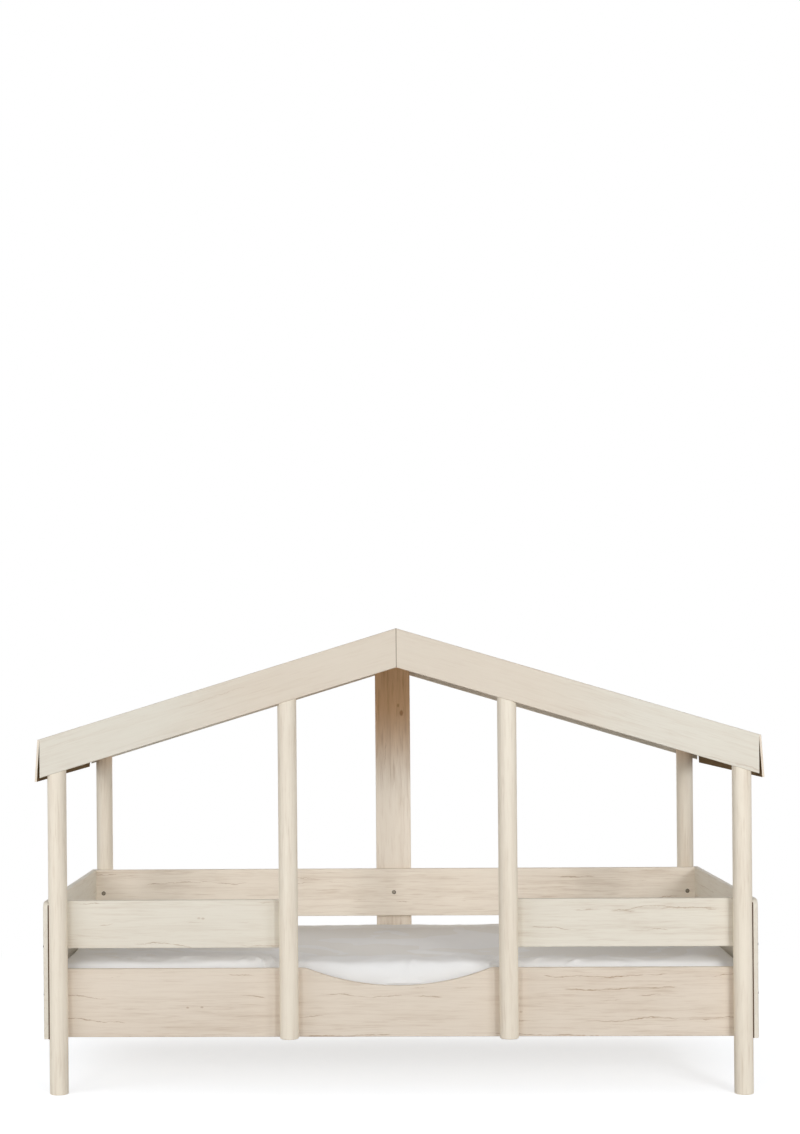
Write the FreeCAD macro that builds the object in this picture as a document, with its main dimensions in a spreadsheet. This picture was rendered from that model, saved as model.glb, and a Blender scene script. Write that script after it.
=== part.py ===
import FreeCAD
import Part
import Sketcher
import math
import os
from FreeCAD import Placement, Rotation, Vector

# House frame bed, in millimetres.  X runs along the mattress, Y from the open
# front (-Y) to the rear, Z up from the floor.  The origin is on the floor under
# the middle of the bed.

# Driving dimensions.
SIZES = {
    # mattress, its cloth and the room round them
    "mattress_length": 2000,
    "mattress_width": 900,
    "mattress_thick": 150,
    "mattress_corner": 45,
    "mattress_roll": 18,
    "mattress_room": 15,
    "cloth_thick": 1.5,
    # boards and round posts
    "board_thick": 18,
    "edge_round": 3,
    "post_dia": 55,
    "post_chamfer": 2,
    "seat_depth": 3,
    "mid_post_x": 318,
    "upright_width": 118,
    "upright_margin": 15,
    # lower box and guards
    "rail_bottom": 160,
    "rail_height": 200,
    "guard_gap": 60,
    "guard_height": 140,
    "rear_guard_height": 160,
    "guard_reach": 14,
    "panel_overlap": 8,
    "panel_corner": 20,
    "panel_chamfer": 2.5,
    "scoop_width": 540,
    "scoop_depth": 52,
    "scoop_lip": 30,
    # gable
    "ridge_height": 1347,
    "roof_pitch": 16.8,
    "fascia_width": 108,
    "eave_overhang": 18,
    "roof_recess": 6,
    "ply_thick": 6,
    "eave_height": 122,
    "eave_inset": 2,
    "eave_flare": 4,
    "cleat_size": 20,
    "plate_thick": 12,
    "plate_width": 180,
    "plate_inset": 6,
    "plate_margin": 29,
    "plate_spread": 28,
    "beam_width": 34,
    "beam_height": 60,
    "beam_screw_drop": 24,
    "beam_screw_step": 21,
    # slatted base
    "ledger_size": 30,
    "ledger_rise": 21,
    "slat_count": 13,
    "slat_width": 70,
    "slat_thick": 15,
    "slat_margin": 25,
    "slat_chamfer": 2,
    "tape_width": 25,
    "tape_thick": 1,
    "tape_spread": 500,
    # furniture bolts and their threaded sleeves
    "bolt_dia": 6,
    "bolt_length": 30,
    "head_dia": 10,
    "head_height": 6,
    "bore_dia": 14,
    "bore_depth": 7,
    "sleeve_dia": 12,
    "sleeve_length": 18,
    "sleeve_pocket": 22,
    "low_bolt": 90,
    "high_bolt": 170,
    "panel_low_bolt": 130,
    "panel_high_bolt": 270,
    # wood screws and pins
    "screw_dia": 4.5,
    "screw_head_dia": 9,
    "screw_head_height": 3,
    "screw_bite": 12,
    "screw_spread": 44,
    "post_sink": 8,
    "flat_sink": 4,
    "pin_dia": 2,
    "pin_bite": 18,
    "pin_drop": 18,
    "pin_spread": 34,
    # running clearances
    "fit": 0.3,
    "hole_room": 0.15,
}

# Places worked out from the driving dimensions.
PLACES = {
    "box_x": "=Sizes.mattress_length / 2 + Sizes.mattress_room",
    "box_y": "=Sizes.mattress_width / 2 + Sizes.mattress_room",
    "long_outer": "=box_y + Sizes.board_thick",
    "radius": "=Sizes.post_dia / 2",
    "flat": "=radius - Sizes.seat_depth",
    "post_x": "=box_x - flat",
    "post_y": "=long_outer + flat",
    "fascia_outer": "=post_y + radius",
    "fascia_inner": "=fascia_outer - Sizes.board_thick",
    "eave_x": "=post_x + radius + Sizes.eave_overhang",
    "rail_top": "=Sizes.rail_bottom + Sizes.rail_height",
    "guard_bottom": "=rail_top + Sizes.guard_gap",
    "guard_top": "=guard_bottom + Sizes.guard_height",
    "rear_guard_bottom": "=guard_top - Sizes.rear_guard_height",
    "box_height": "=guard_top - Sizes.rail_bottom",
    "rate": "=tan(Sizes.roof_pitch)",
    "fascia_drop": "=Sizes.fascia_width / cos(Sizes.roof_pitch)",
    "fascia_ridge": "=Sizes.ridge_height - fascia_drop",
    "fascia_middle": "=Sizes.ridge_height - fascia_drop / 2",
    "panel_ridge": "=Sizes.ridge_height - Sizes.roof_recess",
    "panel_drop": "=Sizes.ply_thick / cos(Sizes.roof_pitch)",
    "under_ridge": "=panel_ridge - panel_drop",
    "cleat_drop": "=Sizes.cleat_size / cos(Sizes.roof_pitch)",
    "plate_bottom": "=fascia_ridge + Sizes.plate_inset",
    "upright_thick": "=fascia_inner - long_outer",
    "eave_top": "=Sizes.ridge_height - eave_x * rate",
    "scoop_radius": "=(Sizes.scoop_width ^ 2 / 4 + Sizes.scoop_depth ^ 2) / (2 * Sizes.scoop_depth)",
    "ledger_bottom": "=Sizes.rail_bottom + Sizes.ledger_rise",
    "ledger_top": "=ledger_bottom + Sizes.ledger_size",
    "slat_top": "=ledger_top + Sizes.slat_thick",
    "slat_first": "=-box_x + Sizes.slat_margin + Sizes.slat_width / 2",
    "slat_pitch": "=-2 * slat_first / (Sizes.slat_count - 1)",
    "bolt_hole": "=Sizes.bolt_dia + 4 * Sizes.hole_room",
    "sleeve_hole": "=Sizes.sleeve_dia + 2 * Sizes.hole_room",
    "screw_hole": "=Sizes.screw_dia + 2 * Sizes.hole_room",
    "screw_head_hole": "=Sizes.screw_head_dia + 4 * Sizes.hole_room",
    "pin_hole": "=Sizes.pin_dia + 2 * Sizes.hole_room",
}

ORIGIN = (-1, 1)
HORIZONTAL_AXIS = -1
VERTICAL_AXIS = -2
CENTRE = 3
FRONT, REAR = -1, 1
LEFT, RIGHT = -1, 1
NO_TURN = Rotation()
HALF_TURN = Rotation(Vector(0, 0, 1), 180)
SIDES = {LEFT: "left", RIGHT: "right"}
ROWS = {FRONT: "front", REAR: "rear"}
# The many fasteners and their holes are prisms with few sides.
BOLT_SIDES, SCREW_SIDES, PIN_SIDES = 8, 6, 4

doc = FreeCAD.newDocument("HouseFrameBed")
nodes = []


def fill_sheet(name, rows):
    """A spreadsheet with one named cell a row."""
    sheet = doc.addObject("Spreadsheet::Sheet", name)
    for row, (alias, content) in enumerate(rows.items(), start=1):
        sheet.set(f"A{row}", alias)
        sheet.set(f"B{row}", str(content))
        sheet.setAlias(f"B{row}", alias)
    doc.recompute()
    return sheet


sizes = fill_sheet("Sizes", SIZES)
places = fill_sheet("Places", PLACES)


def value(text):
    """The number that an expression gives now."""
    return float(places.evalExpression(text))


def size(alias):
    return float(sizes.get(alias))


def place(alias):
    return float(places.get(alias))


# ---------------------------------------------------------------- sketch helpers

def new_body(name, across, back, up, turn=NO_TURN):
    """An empty body whose local origin stands at three expressions."""
    body = doc.addObject("PartDesign::Body", name)
    body.Label = name
    body.Placement = Placement(Vector(), turn)
    for axis, text in zip("xyz", (across, back, up)):
        body.setExpression(f"Placement.Base.{axis}", text)
    nodes.append(body)
    return body


def new_sketch(body, role, name, offset="0"):
    """A sketch on one of the body's own origin planes, moved along its normal."""
    sketch = body.newObject("Sketcher::SketchObject", body.Name + name)
    planes = {feature.Role: feature for feature in body.Origin.OriginFeatures}
    sketch.AttachmentSupport = [(planes[role], "")]
    sketch.MapMode = "FlatFace"
    sketch.setExpression("AttachmentOffset.Base.z", offset)
    return sketch


def hold(sketch, shape, point, across, up):
    """Hold a point of a sketch at two expressions, measured from its origin."""
    for kind, axis, text in (("DistanceX", VERTICAL_AXIS, across),
                             ("DistanceY", HORIZONTAL_AXIS, up)):
        if text == "0":
            sketch.addConstraint(Sketcher.Constraint("PointOnObject", shape, point, axis))
            continue
        held = Sketcher.Constraint(kind, *ORIGIN, shape, point, value(text))
        number = sketch.addConstraint(held)
        sketch.setExpression(f"Constraints[{number}]", text)


def polygon(sketch, corners):
    """A closed outline through corners given as pairs of expressions."""
    points = [Vector(value(across), value(up), 0) for across, up in corners]
    count = len(points)
    for index in range(count):
        line = Part.LineSegment(points[index], points[(index + 1) % count])
        sketch.addGeometry(line, False)
    for index in range(count):
        joined = Sketcher.Constraint("Coincident", index, 2, (index + 1) % count, 1)
        sketch.addConstraint(joined)
    for index, (across, up) in enumerate(corners):
        hold(sketch, index, 1, across, up)


def circle(sketch, centre, diameter, construction=False):
    """A circle round a pair of expressions; gives its number in the sketch."""
    across, up = centre
    middle = Vector(value(across), value(up), 0)
    ring = Part.Circle(middle, Vector(0, 0, 1), value(diameter) / 2)
    shape = sketch.addGeometry(ring, construction)
    hold(sketch, shape, CENTRE, across, up)
    number = sketch.addConstraint(Sketcher.Constraint("Diameter", shape, value(diameter)))
    sketch.setExpression(f"Constraints[{number}]", diameter)
    return shape


def ring_corners(radius, sides, middle=Vector()):
    """Corners of a regular polygon, the first one straight along +X."""
    turns = [2 * math.pi * corner / sides for corner in range(sides)]
    return [middle + Vector(math.cos(turn), math.sin(turn), 0) * radius for turn in turns]


def regular_polygons(sketch, centres, diameter, sides):
    """Equal regular polygons, each inside a construction circle round its centre."""
    for centre in centres:
        middle = Vector(*map(value, centre), 0)
        corners = ring_corners(value(diameter) / 2, sides, middle)
        first = sketch.GeometryCount
        for index, corner in enumerate(corners):
            sketch.addGeometry(Part.LineSegment(corner, corners[(index + 1) % sides]), False)
        ring = circle(sketch, centre, diameter, construction=True)
        held = [Sketcher.Constraint("Horizontal", first, 1, ring, CENTRE)]
        for index in range(sides):
            line, following = first + index, first + (index + 1) % sides
            held.append(Sketcher.Constraint("Coincident", line, 2, following, 1))
            held.append(Sketcher.Constraint("PointOnObject", line, 1, ring))
            if index:
                held.append(Sketcher.Constraint("Equal", first, line))
        sketch.addConstraint(held)


def pad(body, sketch, length, reverse=False):
    feature = body.newObject("PartDesign::Pad", sketch.Name + "Pad")
    feature.Profile = sketch
    feature.setExpression("Length", length)
    feature.Reversed = reverse
    sketch.Visibility = False
    doc.recompute()


def pocket(body, sketch, depth, reverse=False):
    """Cut a sketch into the body and make sure that it took wood away."""
    before = body.Shape.Volume
    feature = body.newObject("PartDesign::Pocket", sketch.Name + "Cut")
    feature.Profile = sketch
    feature.setExpression("Length", depth)
    feature.Reversed = reverse
    sketch.Visibility = False
    doc.recompute()
    if body.Shape.Volume >= before - 1e-6:
        raise RuntimeError(f"{sketch.Name} cuts nothing")


def dress(body, kind, prop, amount, wanted):
    """A fillet or chamfer on the edges of the body that wanted() picks."""
    base = body.Tip
    names = [f"Edge{number}" for number, edge in enumerate(base.Shape.Edges, start=1)
             if wanted(edge)]
    if not names:
        raise RuntimeError(f"{body.Name} has no edge to dress")
    feature = body.newObject(f"PartDesign::{kind}", body.Name + kind)
    feature.Base = (base, names)
    feature.setExpression(prop, amount)
    doc.recompute()


def straight_along(edge, axis):
    """True for a straight edge that runs mostly along a unit vector."""
    if not isinstance(edge.Curve, Part.Line):
        return False
    return abs(edge.Curve.Direction.dot(axis)) > 0.9


def round_long_edges(body, axis):
    dress(body, "Fillet", "Radius", "Sizes.edge_round",
          lambda edge: straight_along(edge, axis))


def turn_of(row):
    """Front pieces stand as drawn; rear pieces are the same turned about Z."""
    return NO_TURN if row == FRONT else HALF_TURN


# ---------------------------------------------------------------- drilled holes

def drill(body, name, centres, diameter, sides, face, depth, reverse, role="XZ_Plane"):
    """Equal holes from a face that stands off one of the body's origin planes."""
    sketch = new_sketch(body, role, name, face)
    regular_polygons(sketch, centres, diameter, sides)
    pocket(body, sketch, depth, reverse)


def bolt_holes(body, centres, face, reverse):
    """Counterbored bolt holes through a board from one of its faces."""
    drill(body, "Bores", centres, "Sizes.bore_dia", BOLT_SIDES, face,
          "Sizes.bore_depth", reverse)
    drill(body, "BoltHoles", centres, "Places.bolt_hole", BOLT_SIDES, face,
          "Sizes.board_thick", reverse)


def sleeve_holes(body, name, centres, face, reverse, role="XZ_Plane"):
    """Blind holes for the threaded sleeves, with room for the bolts' ends."""
    drill(body, name, centres, "Places.sleeve_hole", BOLT_SIDES, face,
          "Sizes.sleeve_pocket", reverse, role)


def pilot_holes(body, name, centres, face, reverse):
    """Blind holes for screw points, screw_bite deep and a little more."""
    drill(body, name + "Pilots", centres, "Places.screw_hole", SCREW_SIDES, face,
          "Sizes.screw_bite + Sizes.fit", reverse)


def sunk_holes(body, name, centres, face, thick, sink, reverse):
    """Through holes for screws whose heads are sunk below a face."""
    drill(body, name + "Heads", centres, "Places.screw_head_hole", SCREW_SIDES, face,
          sink, reverse)
    drill(body, name + "Shanks", centres, "Places.screw_hole", SCREW_SIDES, face,
          thick, reverse)


def pin_holes(body, centres, face, depth, reverse):
    """Holes for the eave boards' wire pins, along the bed."""
    drill(body, "PinHoles", centres, "Places.pin_hole", PIN_SIDES, face, depth, reverse,
          role="YZ_Plane")


def slope_height(level, across):
    """Height of a line that falls with the roof from a level at the ridge."""
    return f"({level} - ({across}) * Places.rate)"


def screw_heights(across):
    """Two screw heights, above and below the middle of the fascia."""
    middle = slope_height("Places.fascia_middle", across)
    return [f"{middle} - Sizes.screw_spread / 2", f"{middle} + Sizes.screw_spread / 2"]


def towards(sign, spots):
    """The same spots with their distances from the middle laid off on one side."""
    return [(f"{sign} * ({across})", up) for across, up in spots]


def mirrored(spots):
    """Spots on both sides of the middle."""
    return [spot for side in SIDES for spot in towards(side, spots)]


# ---------------------------------------------------------------- posts

BOLT_HEIGHTS = ["Sizes.rail_bottom + Sizes.low_bolt", "Sizes.rail_bottom + Sizes.high_bolt"]
FRONT_GUARD_BOLT = "Places.guard_bottom + Sizes.guard_height / 2"
REAR_GUARD_BOLT = "Places.rear_guard_bottom + Sizes.rear_guard_height / 2"
PANEL_HEIGHTS = ["Sizes.rail_bottom + Sizes.panel_low_bolt",
                 "Sizes.rail_bottom + Sizes.panel_high_bolt"]
POST_STATIONS = {FRONT: ["Places.post_x", "Sizes.mid_post_x"], REAR: ["Places.post_x"]}


def make_post(name, row, side, centre, corner):
    """A round post: flats for the boards, a sloped top and the fascia's notch.

    Locally the fascia is at -y and the long boards at +y.  Rise is the local x
    direction in which the roof climbs; a corner post has its end panel on the
    other side.
    """
    rise = -side if row == FRONT else side
    foot = "0" if corner else "Sizes.rail_bottom"
    body = new_body(name, f"{side} * {centre}", f"{row} * Places.post_y", foot, turn_of(row))

    shaft = new_sketch(body, "XY_Plane", "Shaft")
    circle(shaft, ("0", "0"), "Sizes.post_dia")
    top = slope_height("Places.under_ridge", f"{centre} - Sizes.post_dia")
    pad(body, shaft, f"{top} - {foot}")
    dress(body, "Chamfer", "Size", "Sizes.post_chamfer",
          lambda edge: abs(edge.CenterOfMass.z) < 1e-6 and isinstance(edge.Curve, Part.Circle))

    def flat(name, left, right, near, far):
        cut = new_sketch(body, "XY_Plane", name, f"Sizes.rail_bottom - {foot}")
        polygon(cut, [(left, near), (right, near), (right, far), (left, far)])
        pocket(body, cut, "Places.box_height", reverse=True)

    wide = "Sizes.post_dia"
    flat("BoardFlat", f"-{wide}", wide, "Places.flat", wide)
    if corner:
        flat("PanelFlat", f"{-rise} * Places.flat", f"{-rise} * {wide}", f"-{wide}", wide)

    def sloped_cut(name, level, depth):
        cut = new_sketch(body, "XZ_Plane", name, "Sizes.post_dia")
        low = slope_height(level, f"{centre} + {rise} * Sizes.post_dia")
        high = slope_height(level, f"{centre} - {rise} * Sizes.post_dia")
        peak = f"Sizes.ridge_height - {foot}"
        polygon(cut, [("-Sizes.post_dia", f"{low} - {foot}"),
                      ("Sizes.post_dia", f"{high} - {foot}"),
                      ("Sizes.post_dia", peak), ("-Sizes.post_dia", peak)])
        pocket(body, cut, depth)

    sloped_cut("Top", "Places.under_ridge", "2 * Sizes.post_dia")
    sloped_cut("Notch", "Places.fascia_ridge", "Places.radius + Sizes.board_thick")

    def above_foot(heights):
        return [("0", f"{height} - {foot}") for height in heights]

    guard_bolt = FRONT_GUARD_BOLT if row == FRONT else REAR_GUARD_BOLT
    sleeve_holes(body, "Sleeves", above_foot(BOLT_HEIGHTS + [guard_bolt]), "-Places.flat", True)
    if corner:
        sleeve_holes(body, "PanelSleeves", above_foot(PANEL_HEIGHTS), f"{-rise} * Places.flat",
                     rise > 0, role="YZ_Plane")
    sunk_holes(body, "Fascia", above_foot(screw_heights(centre)), "-Places.radius",
               "Sizes.post_dia", "Sizes.post_sink", True)


for row in ROWS:
    for side in SIDES:
        make_post(f"post_{ROWS[row]}_{SIDES[side]}", row, side, "Places.post_x", corner=True)
for side in SIDES:
    make_post(f"post_mid_{SIDES[side]}", FRONT, side, "Sizes.mid_post_x", corner=False)


def gable_outline(half, bottom):
    """A five-cornered outline whose top lies against the roof panels."""
    shoulder = slope_height("Places.under_ridge", half)
    return [(f"-{half}", bottom), (half, bottom), (half, shoulder),
            ("0", "Places.under_ridge"), (f"-{half}", shoulder)]


def upright_screws():
    """Spots of the two screws that tie the upright to one rear fascia."""
    across = "Sizes.upright_width / 2 - Sizes.upright_margin"
    return [(across, height) for height in screw_heights(across)]


def beam_screws():
    """Spots of the two screws in each end of the ridge beam."""
    upper = "Places.under_ridge - Sizes.beam_screw_drop"
    return [("0", upper), ("0", f"{upper} - Sizes.beam_screw_step")]


def make_upright():
    """The flat middle upright behind the rear boards."""
    body = new_body("upright_rear", "0", "Places.long_outer", "0")
    outline = new_sketch(body, "XZ_Plane", "Outline")
    polygon(outline, gable_outline("Sizes.upright_width / 2", "Sizes.rail_bottom"))
    pad(body, outline, "Places.upright_thick", reverse=True)
    dress(body, "Fillet", "Radius", "Sizes.edge_round",
          lambda edge: straight_along(edge, Vector(0, 0, 1)))
    heights = BOLT_HEIGHTS + [REAR_GUARD_BOLT]
    sleeve_holes(body, "Sleeves", [("0", height) for height in heights], "0", False)
    sunk_holes(body, "Fascia", mirrored(upright_screws()), "0", "Places.upright_thick",
               "Sizes.flat_sink", False)
    sunk_holes(body, "Beam", beam_screws(), "-Places.upright_thick", "Places.upright_thick",
               "Sizes.flat_sink", True)


make_upright()

# ---------------------------------------------------------------- boards of the box

RAIL_LENGTH = "2 * Places.box_x"
REAR_STATIONS = ["-Places.post_x", "0", "Places.post_x"]
FRONT_STATIONS = ["-Places.post_x", "-Sizes.mid_post_x", "Sizes.mid_post_x", "Places.post_x"]
# Ledger screws as shares of the half length, clear of every bolt.
LEDGER_SCREWS = [f"{share} * Places.box_x" for share in (-0.9, -0.45, 0.1, 0.55, 0.9)]


def make_board(name, row, left, right, bottom, height):
    """A board with rounded long edges; its outer face is local y = 0."""
    body = new_body(name, "0", f"{row} * Places.long_outer", bottom, turn_of(row))
    outline = new_sketch(body, "XZ_Plane", "Outline")
    polygon(outline, [(left, "0"), (right, "0"), (right, height), (left, height)])
    pad(body, outline, "Sizes.board_thick", reverse=True)
    return body


def inner_bolt_holes(body, centres):
    """Bolt holes from the inner face of a long board."""
    bolt_holes(body, centres, "-Sizes.board_thick", True)


def make_rail(row, stations):
    """A lower side board; the front one is scooped between the middle posts."""
    body = make_board(f"rail_{ROWS[row]}", row, "-Places.box_x", "Places.box_x",
                      "Sizes.rail_bottom", "Sizes.rail_height")
    if row == FRONT:
        scoop = new_sketch(body, "XZ_Plane", "Scoop", "0")
        centre = "Sizes.rail_height - Sizes.scoop_depth + Places.scoop_radius"
        circle(scoop, ("0", centre), "2 * Places.scoop_radius")
        pocket(body, scoop, "Sizes.board_thick")
        lip = size("scoop_width") / 2
        dress(body, "Fillet", "Radius", "Sizes.scoop_lip",
              lambda edge: abs(abs(edge.CenterOfMass.x) - lip) < 1e-3)
        top = size("rail_height")
        lowest_arris = top - size("scoop_depth") - 1
        end = place("box_x") - 1
        dress(body, "Fillet", "Radius", "Sizes.edge_round",
              lambda edge: abs(edge.tangentAt(edge.FirstParameter).y) < 0.5
              and abs(edge.CenterOfMass.x) < end
              and (edge.CenterOfMass.z < 1 or edge.CenterOfMass.z > lowest_arris))
    else:
        round_long_edges(body, Vector(1, 0, 0))
    heights = [f"{height} - Sizes.rail_bottom" for height in BOLT_HEIGHTS]
    inner_bolt_holes(body, [(across, up) for across in stations for up in heights])
    pilots = [(across, "Sizes.ledger_rise + Sizes.ledger_size / 2") for across in LEDGER_SCREWS]
    pilot_holes(body, "Ledger", pilots, "-Sizes.board_thick", True)


make_rail(FRONT, FRONT_STATIONS)
make_rail(REAR, REAR_STATIONS)


def make_front_guard(side):
    """A short guard from the end panel to just past the middle post's centre."""
    inner = f"{side} * (Sizes.mid_post_x - Sizes.guard_reach)"
    outer = f"{side} * Places.box_x"
    ends = sorted((inner, outer), key=value)
    body = make_board(f"guard_front_{SIDES[side]}", FRONT, *ends, "Places.guard_bottom",
                      "Sizes.guard_height")
    round_long_edges(body, Vector(1, 0, 0))
    middle = "Sizes.guard_height / 2"
    inner_bolt_holes(body, [(f"{side} * Sizes.mid_post_x", middle),
                            (f"{side} * Places.post_x", middle)])


for side in SIDES:
    make_front_guard(side)


def make_rear_guard():
    body = make_board("guard_rear", REAR, "-Places.box_x", "Places.box_x",
                      "Places.rear_guard_bottom", "Sizes.rear_guard_height")
    round_long_edges(body, Vector(1, 0, 0))
    inner_bolt_holes(body, [(across, "Sizes.rear_guard_height / 2")
                            for across in REAR_STATIONS])


make_rear_guard()


def make_end_panel(side):
    """Head or foot board, outside the posts, with rounded top corners and eased edges."""
    turn = Rotation(Vector(0, 0, 1), 90 * side)
    body = new_body(f"end_panel_{SIDES[side]}", f"{side} * (Places.box_x + Sizes.board_thick)",
                    "0", "Sizes.rail_bottom", turn)
    half = "Places.post_y + Sizes.panel_overlap"
    outline = new_sketch(body, "XZ_Plane", "Outline")
    polygon(outline, [(f"-({half})", "0"), (half, "0"), (half, "Places.box_height"),
                      (f"-({half})", "Places.box_height")])
    pad(body, outline, "Sizes.board_thick", reverse=True)
    height = place("box_height")
    dress(body, "Fillet", "Radius", "Sizes.panel_corner",
          lambda edge: straight_along(edge, Vector(0, 1, 0))
          and edge.CenterOfMass.z > height - 1)
    dress(body, "Chamfer", "Size", "Sizes.panel_chamfer",
          lambda edge: straight_along(edge, Vector(1, 0, 0)))
    bolt_holes(body, [(f"{end} * Places.post_y", f"{up} - Sizes.rail_bottom")
                      for end in (-1, 1) for up in PANEL_HEIGHTS], "0", False)


for side in SIDES:
    make_end_panel(side)

# ---------------------------------------------------------------- gable and roof

MID_INNER = "Sizes.mid_post_x - Places.radius - Sizes.fit"
MID_OUTER = "Sizes.mid_post_x + Places.radius + Sizes.fit"
CORNER_INNER = "Places.post_x - Places.radius - Sizes.fit"
PLATE_EDGE = "Sizes.plate_width / 2 + Sizes.fit"
UPRIGHT_EDGE = "Sizes.upright_width / 2 + Sizes.fit"
CLEATS = {
    "roof_cleat_front_upper": (FRONT, PLATE_EDGE, MID_INNER),
    "roof_cleat_front_lower": (FRONT, MID_OUTER, CORNER_INNER),
    "roof_cleat_rear": (REAR, UPRIGHT_EDGE, CORNER_INNER),
}
CLEAT_SHARES = (0.2, 0.8)
PIN_HEIGHTS = ["Places.eave_top - Sizes.pin_drop",
               "Places.eave_top - Sizes.pin_drop - Sizes.pin_spread"]


def cleat_screws(near, far):
    """Spots of the two screws along a cleat, its distances taken from the ridge."""
    spots = []
    for share in CLEAT_SHARES:
        across = f"(({near}) * {1 - share} + ({far}) * {share})"
        up = slope_height("Places.under_ridge", across) + " - Places.cleat_drop / 2"
        spots.append((across, up))
    return spots


def plate_screws():
    """Spots of the two screws from the ridge plate into one front fascia."""
    across = "Sizes.plate_width / 2 - Sizes.plate_margin"
    lower = "Places.plate_bottom + Sizes.screw_head_dia"
    return [(across, lower), (across, f"{lower} + Sizes.plate_spread")]


def sloped_outline(sign, near, far, level, drop):
    """A strip under a roof line, from near to far, with plumb-cut ends."""
    inner = "0" if near == "0" else f"{sign} * ({near})"
    outer = f"{sign} * ({far})"
    high, low = slope_height(level, near), slope_height(level, far)
    return [(inner, high), (outer, low), (outer, f"{low} - {drop}"), (inner, f"{high} - {drop}")]


def fascia_pilots(row):
    """Where the screws from behind enter a fascia, measured from the ridge."""
    spots = [(across, up) for across in POST_STATIONS[row] for up in screw_heights(across)]
    for cleat_row, near, far in CLEATS.values():
        if cleat_row == row:
            spots += cleat_screws(near, far)
    return spots + (plate_screws() if row == FRONT else upright_screws())


def make_fascia(row, side):
    """A gable board: mitred plumb at the ridge, plumb-cut at the eave."""
    sign = side if row == FRONT else -side
    body = new_body(f"fascia_{ROWS[row]}_{SIDES[side]}", "0",
                    f"{row} * Places.fascia_outer", "0", turn_of(row))
    outline = new_sketch(body, "XZ_Plane", "Outline")
    polygon(outline, sloped_outline(sign, "0", "Places.eave_x", "Sizes.ridge_height",
                                    "Places.fascia_drop"))
    pad(body, outline, "Sizes.board_thick", reverse=True)
    round_long_edges(body, Vector(1, 0, 0))
    pilot_holes(body, "Back", towards(sign, fascia_pilots(row)), "-Sizes.board_thick", True)
    pin_holes(body, [("Sizes.board_thick / 2", up) for up in PIN_HEIGHTS],
              f"{sign} * Places.eave_x", "Sizes.pin_bite + Sizes.fit", sign < 0)


def make_roof_panel(side):
    """A thin roof panel between the fascias, from the ridge to the eave."""
    body = new_body(f"roof_panel_{SIDES[side]}", "0", "-(Places.fascia_inner - Sizes.fit)", "0")
    outline = new_sketch(body, "XZ_Plane", "Outline")
    polygon(outline, sloped_outline(side, "0", "Places.eave_x", "Places.panel_ridge",
                                    "Places.panel_drop"))
    pad(body, outline, "2 * (Places.fascia_inner - Sizes.fit)", reverse=True)


def eave_corner(side, along, out):
    """A point of the flared eave board, along its height and out from its face."""
    reach = f"({along}) * sin(Sizes.eave_flare) + ({out}) * cos(Sizes.eave_flare)"
    top = "Places.eave_top - Sizes.eave_inset"
    down = f"({along}) * cos(Sizes.eave_flare) - ({out}) * sin(Sizes.eave_flare)"
    return f"{side} * (Places.eave_x + {reach})", f"{top} - ({down})"


def make_eave_board(side):
    """A thin board across each eave; its lower edge stands out from the wall."""
    body = new_body(f"eave_board_{SIDES[side]}", "0", "-Places.fascia_outer", "0")
    outline = new_sketch(body, "XZ_Plane", "Outline")
    tall, thick = "Sizes.eave_height", "Sizes.ply_thick"
    polygon(outline, [eave_corner(side, "0", "0"), eave_corner(side, tall, "0"),
                      eave_corner(side, tall, thick), eave_corner(side, "0", thick)])
    pad(body, outline, "2 * Places.fascia_outer", reverse=True)
    backs = ["Sizes.board_thick / 2", "2 * Places.fascia_outer - Sizes.board_thick / 2"]
    pin_holes(body, [(back, up) for back in backs for up in PIN_HEIGHTS],
              f"{side} * (Places.eave_x - Sizes.fit)", "Sizes.eave_height", side > 0)


def make_cleat(name, row, side, near, far):
    """A batten on the inside of a fascia that carries the roof panel."""
    sign = side if row == FRONT else -side
    body = new_body(f"{name}_{SIDES[side]}", "0", f"{row} * Places.fascia_inner", "0",
                    turn_of(row))
    outline = new_sketch(body, "XZ_Plane", "Outline")
    polygon(outline, sloped_outline(sign, near, far, "Places.under_ridge", "Places.cleat_drop"))
    pad(body, outline, "Sizes.cleat_size", reverse=True)
    sunk_holes(body, "Screw", towards(sign, cleat_screws(near, far)), "-Sizes.cleat_size",
               "Sizes.cleat_size", "Sizes.flat_sink", True)


for row in ROWS:
    for side in SIDES:
        make_fascia(row, side)
for side in SIDES:
    make_roof_panel(side)
for side in SIDES:
    make_eave_board(side)
for name, (row, near, far) in CLEATS.items():
    for side in SIDES:
        make_cleat(name, row, side, near, far)


def make_ridge_plate():
    """The plate behind the front mitre."""
    body = new_body("ridge_plate", "0", "-Places.fascia_inner", "0")
    outline = new_sketch(body, "XZ_Plane", "Outline")
    polygon(outline, gable_outline("Sizes.plate_width / 2", "Places.plate_bottom"))
    pad(body, outline, "Sizes.plate_thick", reverse=True)
    sunk_holes(body, "Fascia", mirrored(plate_screws()), "-Sizes.plate_thick",
               "Sizes.plate_thick", "Sizes.flat_sink", True)
    sunk_holes(body, "Beam", beam_screws(), "0", "Sizes.plate_thick", "Sizes.flat_sink", False)


def make_ridge_beam():
    """The beam under the ridge, from the plate to the rear upright."""
    body = new_body("ridge_beam", "0", "-(Places.fascia_inner - Sizes.plate_thick)", "0")
    outline = new_sketch(body, "XZ_Plane", "Outline")
    bottom = "Places.under_ridge - Sizes.beam_height"
    polygon(outline, gable_outline("Sizes.beam_width / 2", bottom))
    length = "(Places.fascia_inner - Sizes.plate_thick + Places.long_outer)"
    pad(body, outline, length, reverse=True)
    pilot_holes(body, "Front", beam_screws(), "0", False)
    pilot_holes(body, "Rear", beam_screws(), f"-{length}", True)


make_ridge_plate()
make_ridge_beam()

# ---------------------------------------------------------------- slatted base

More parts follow.
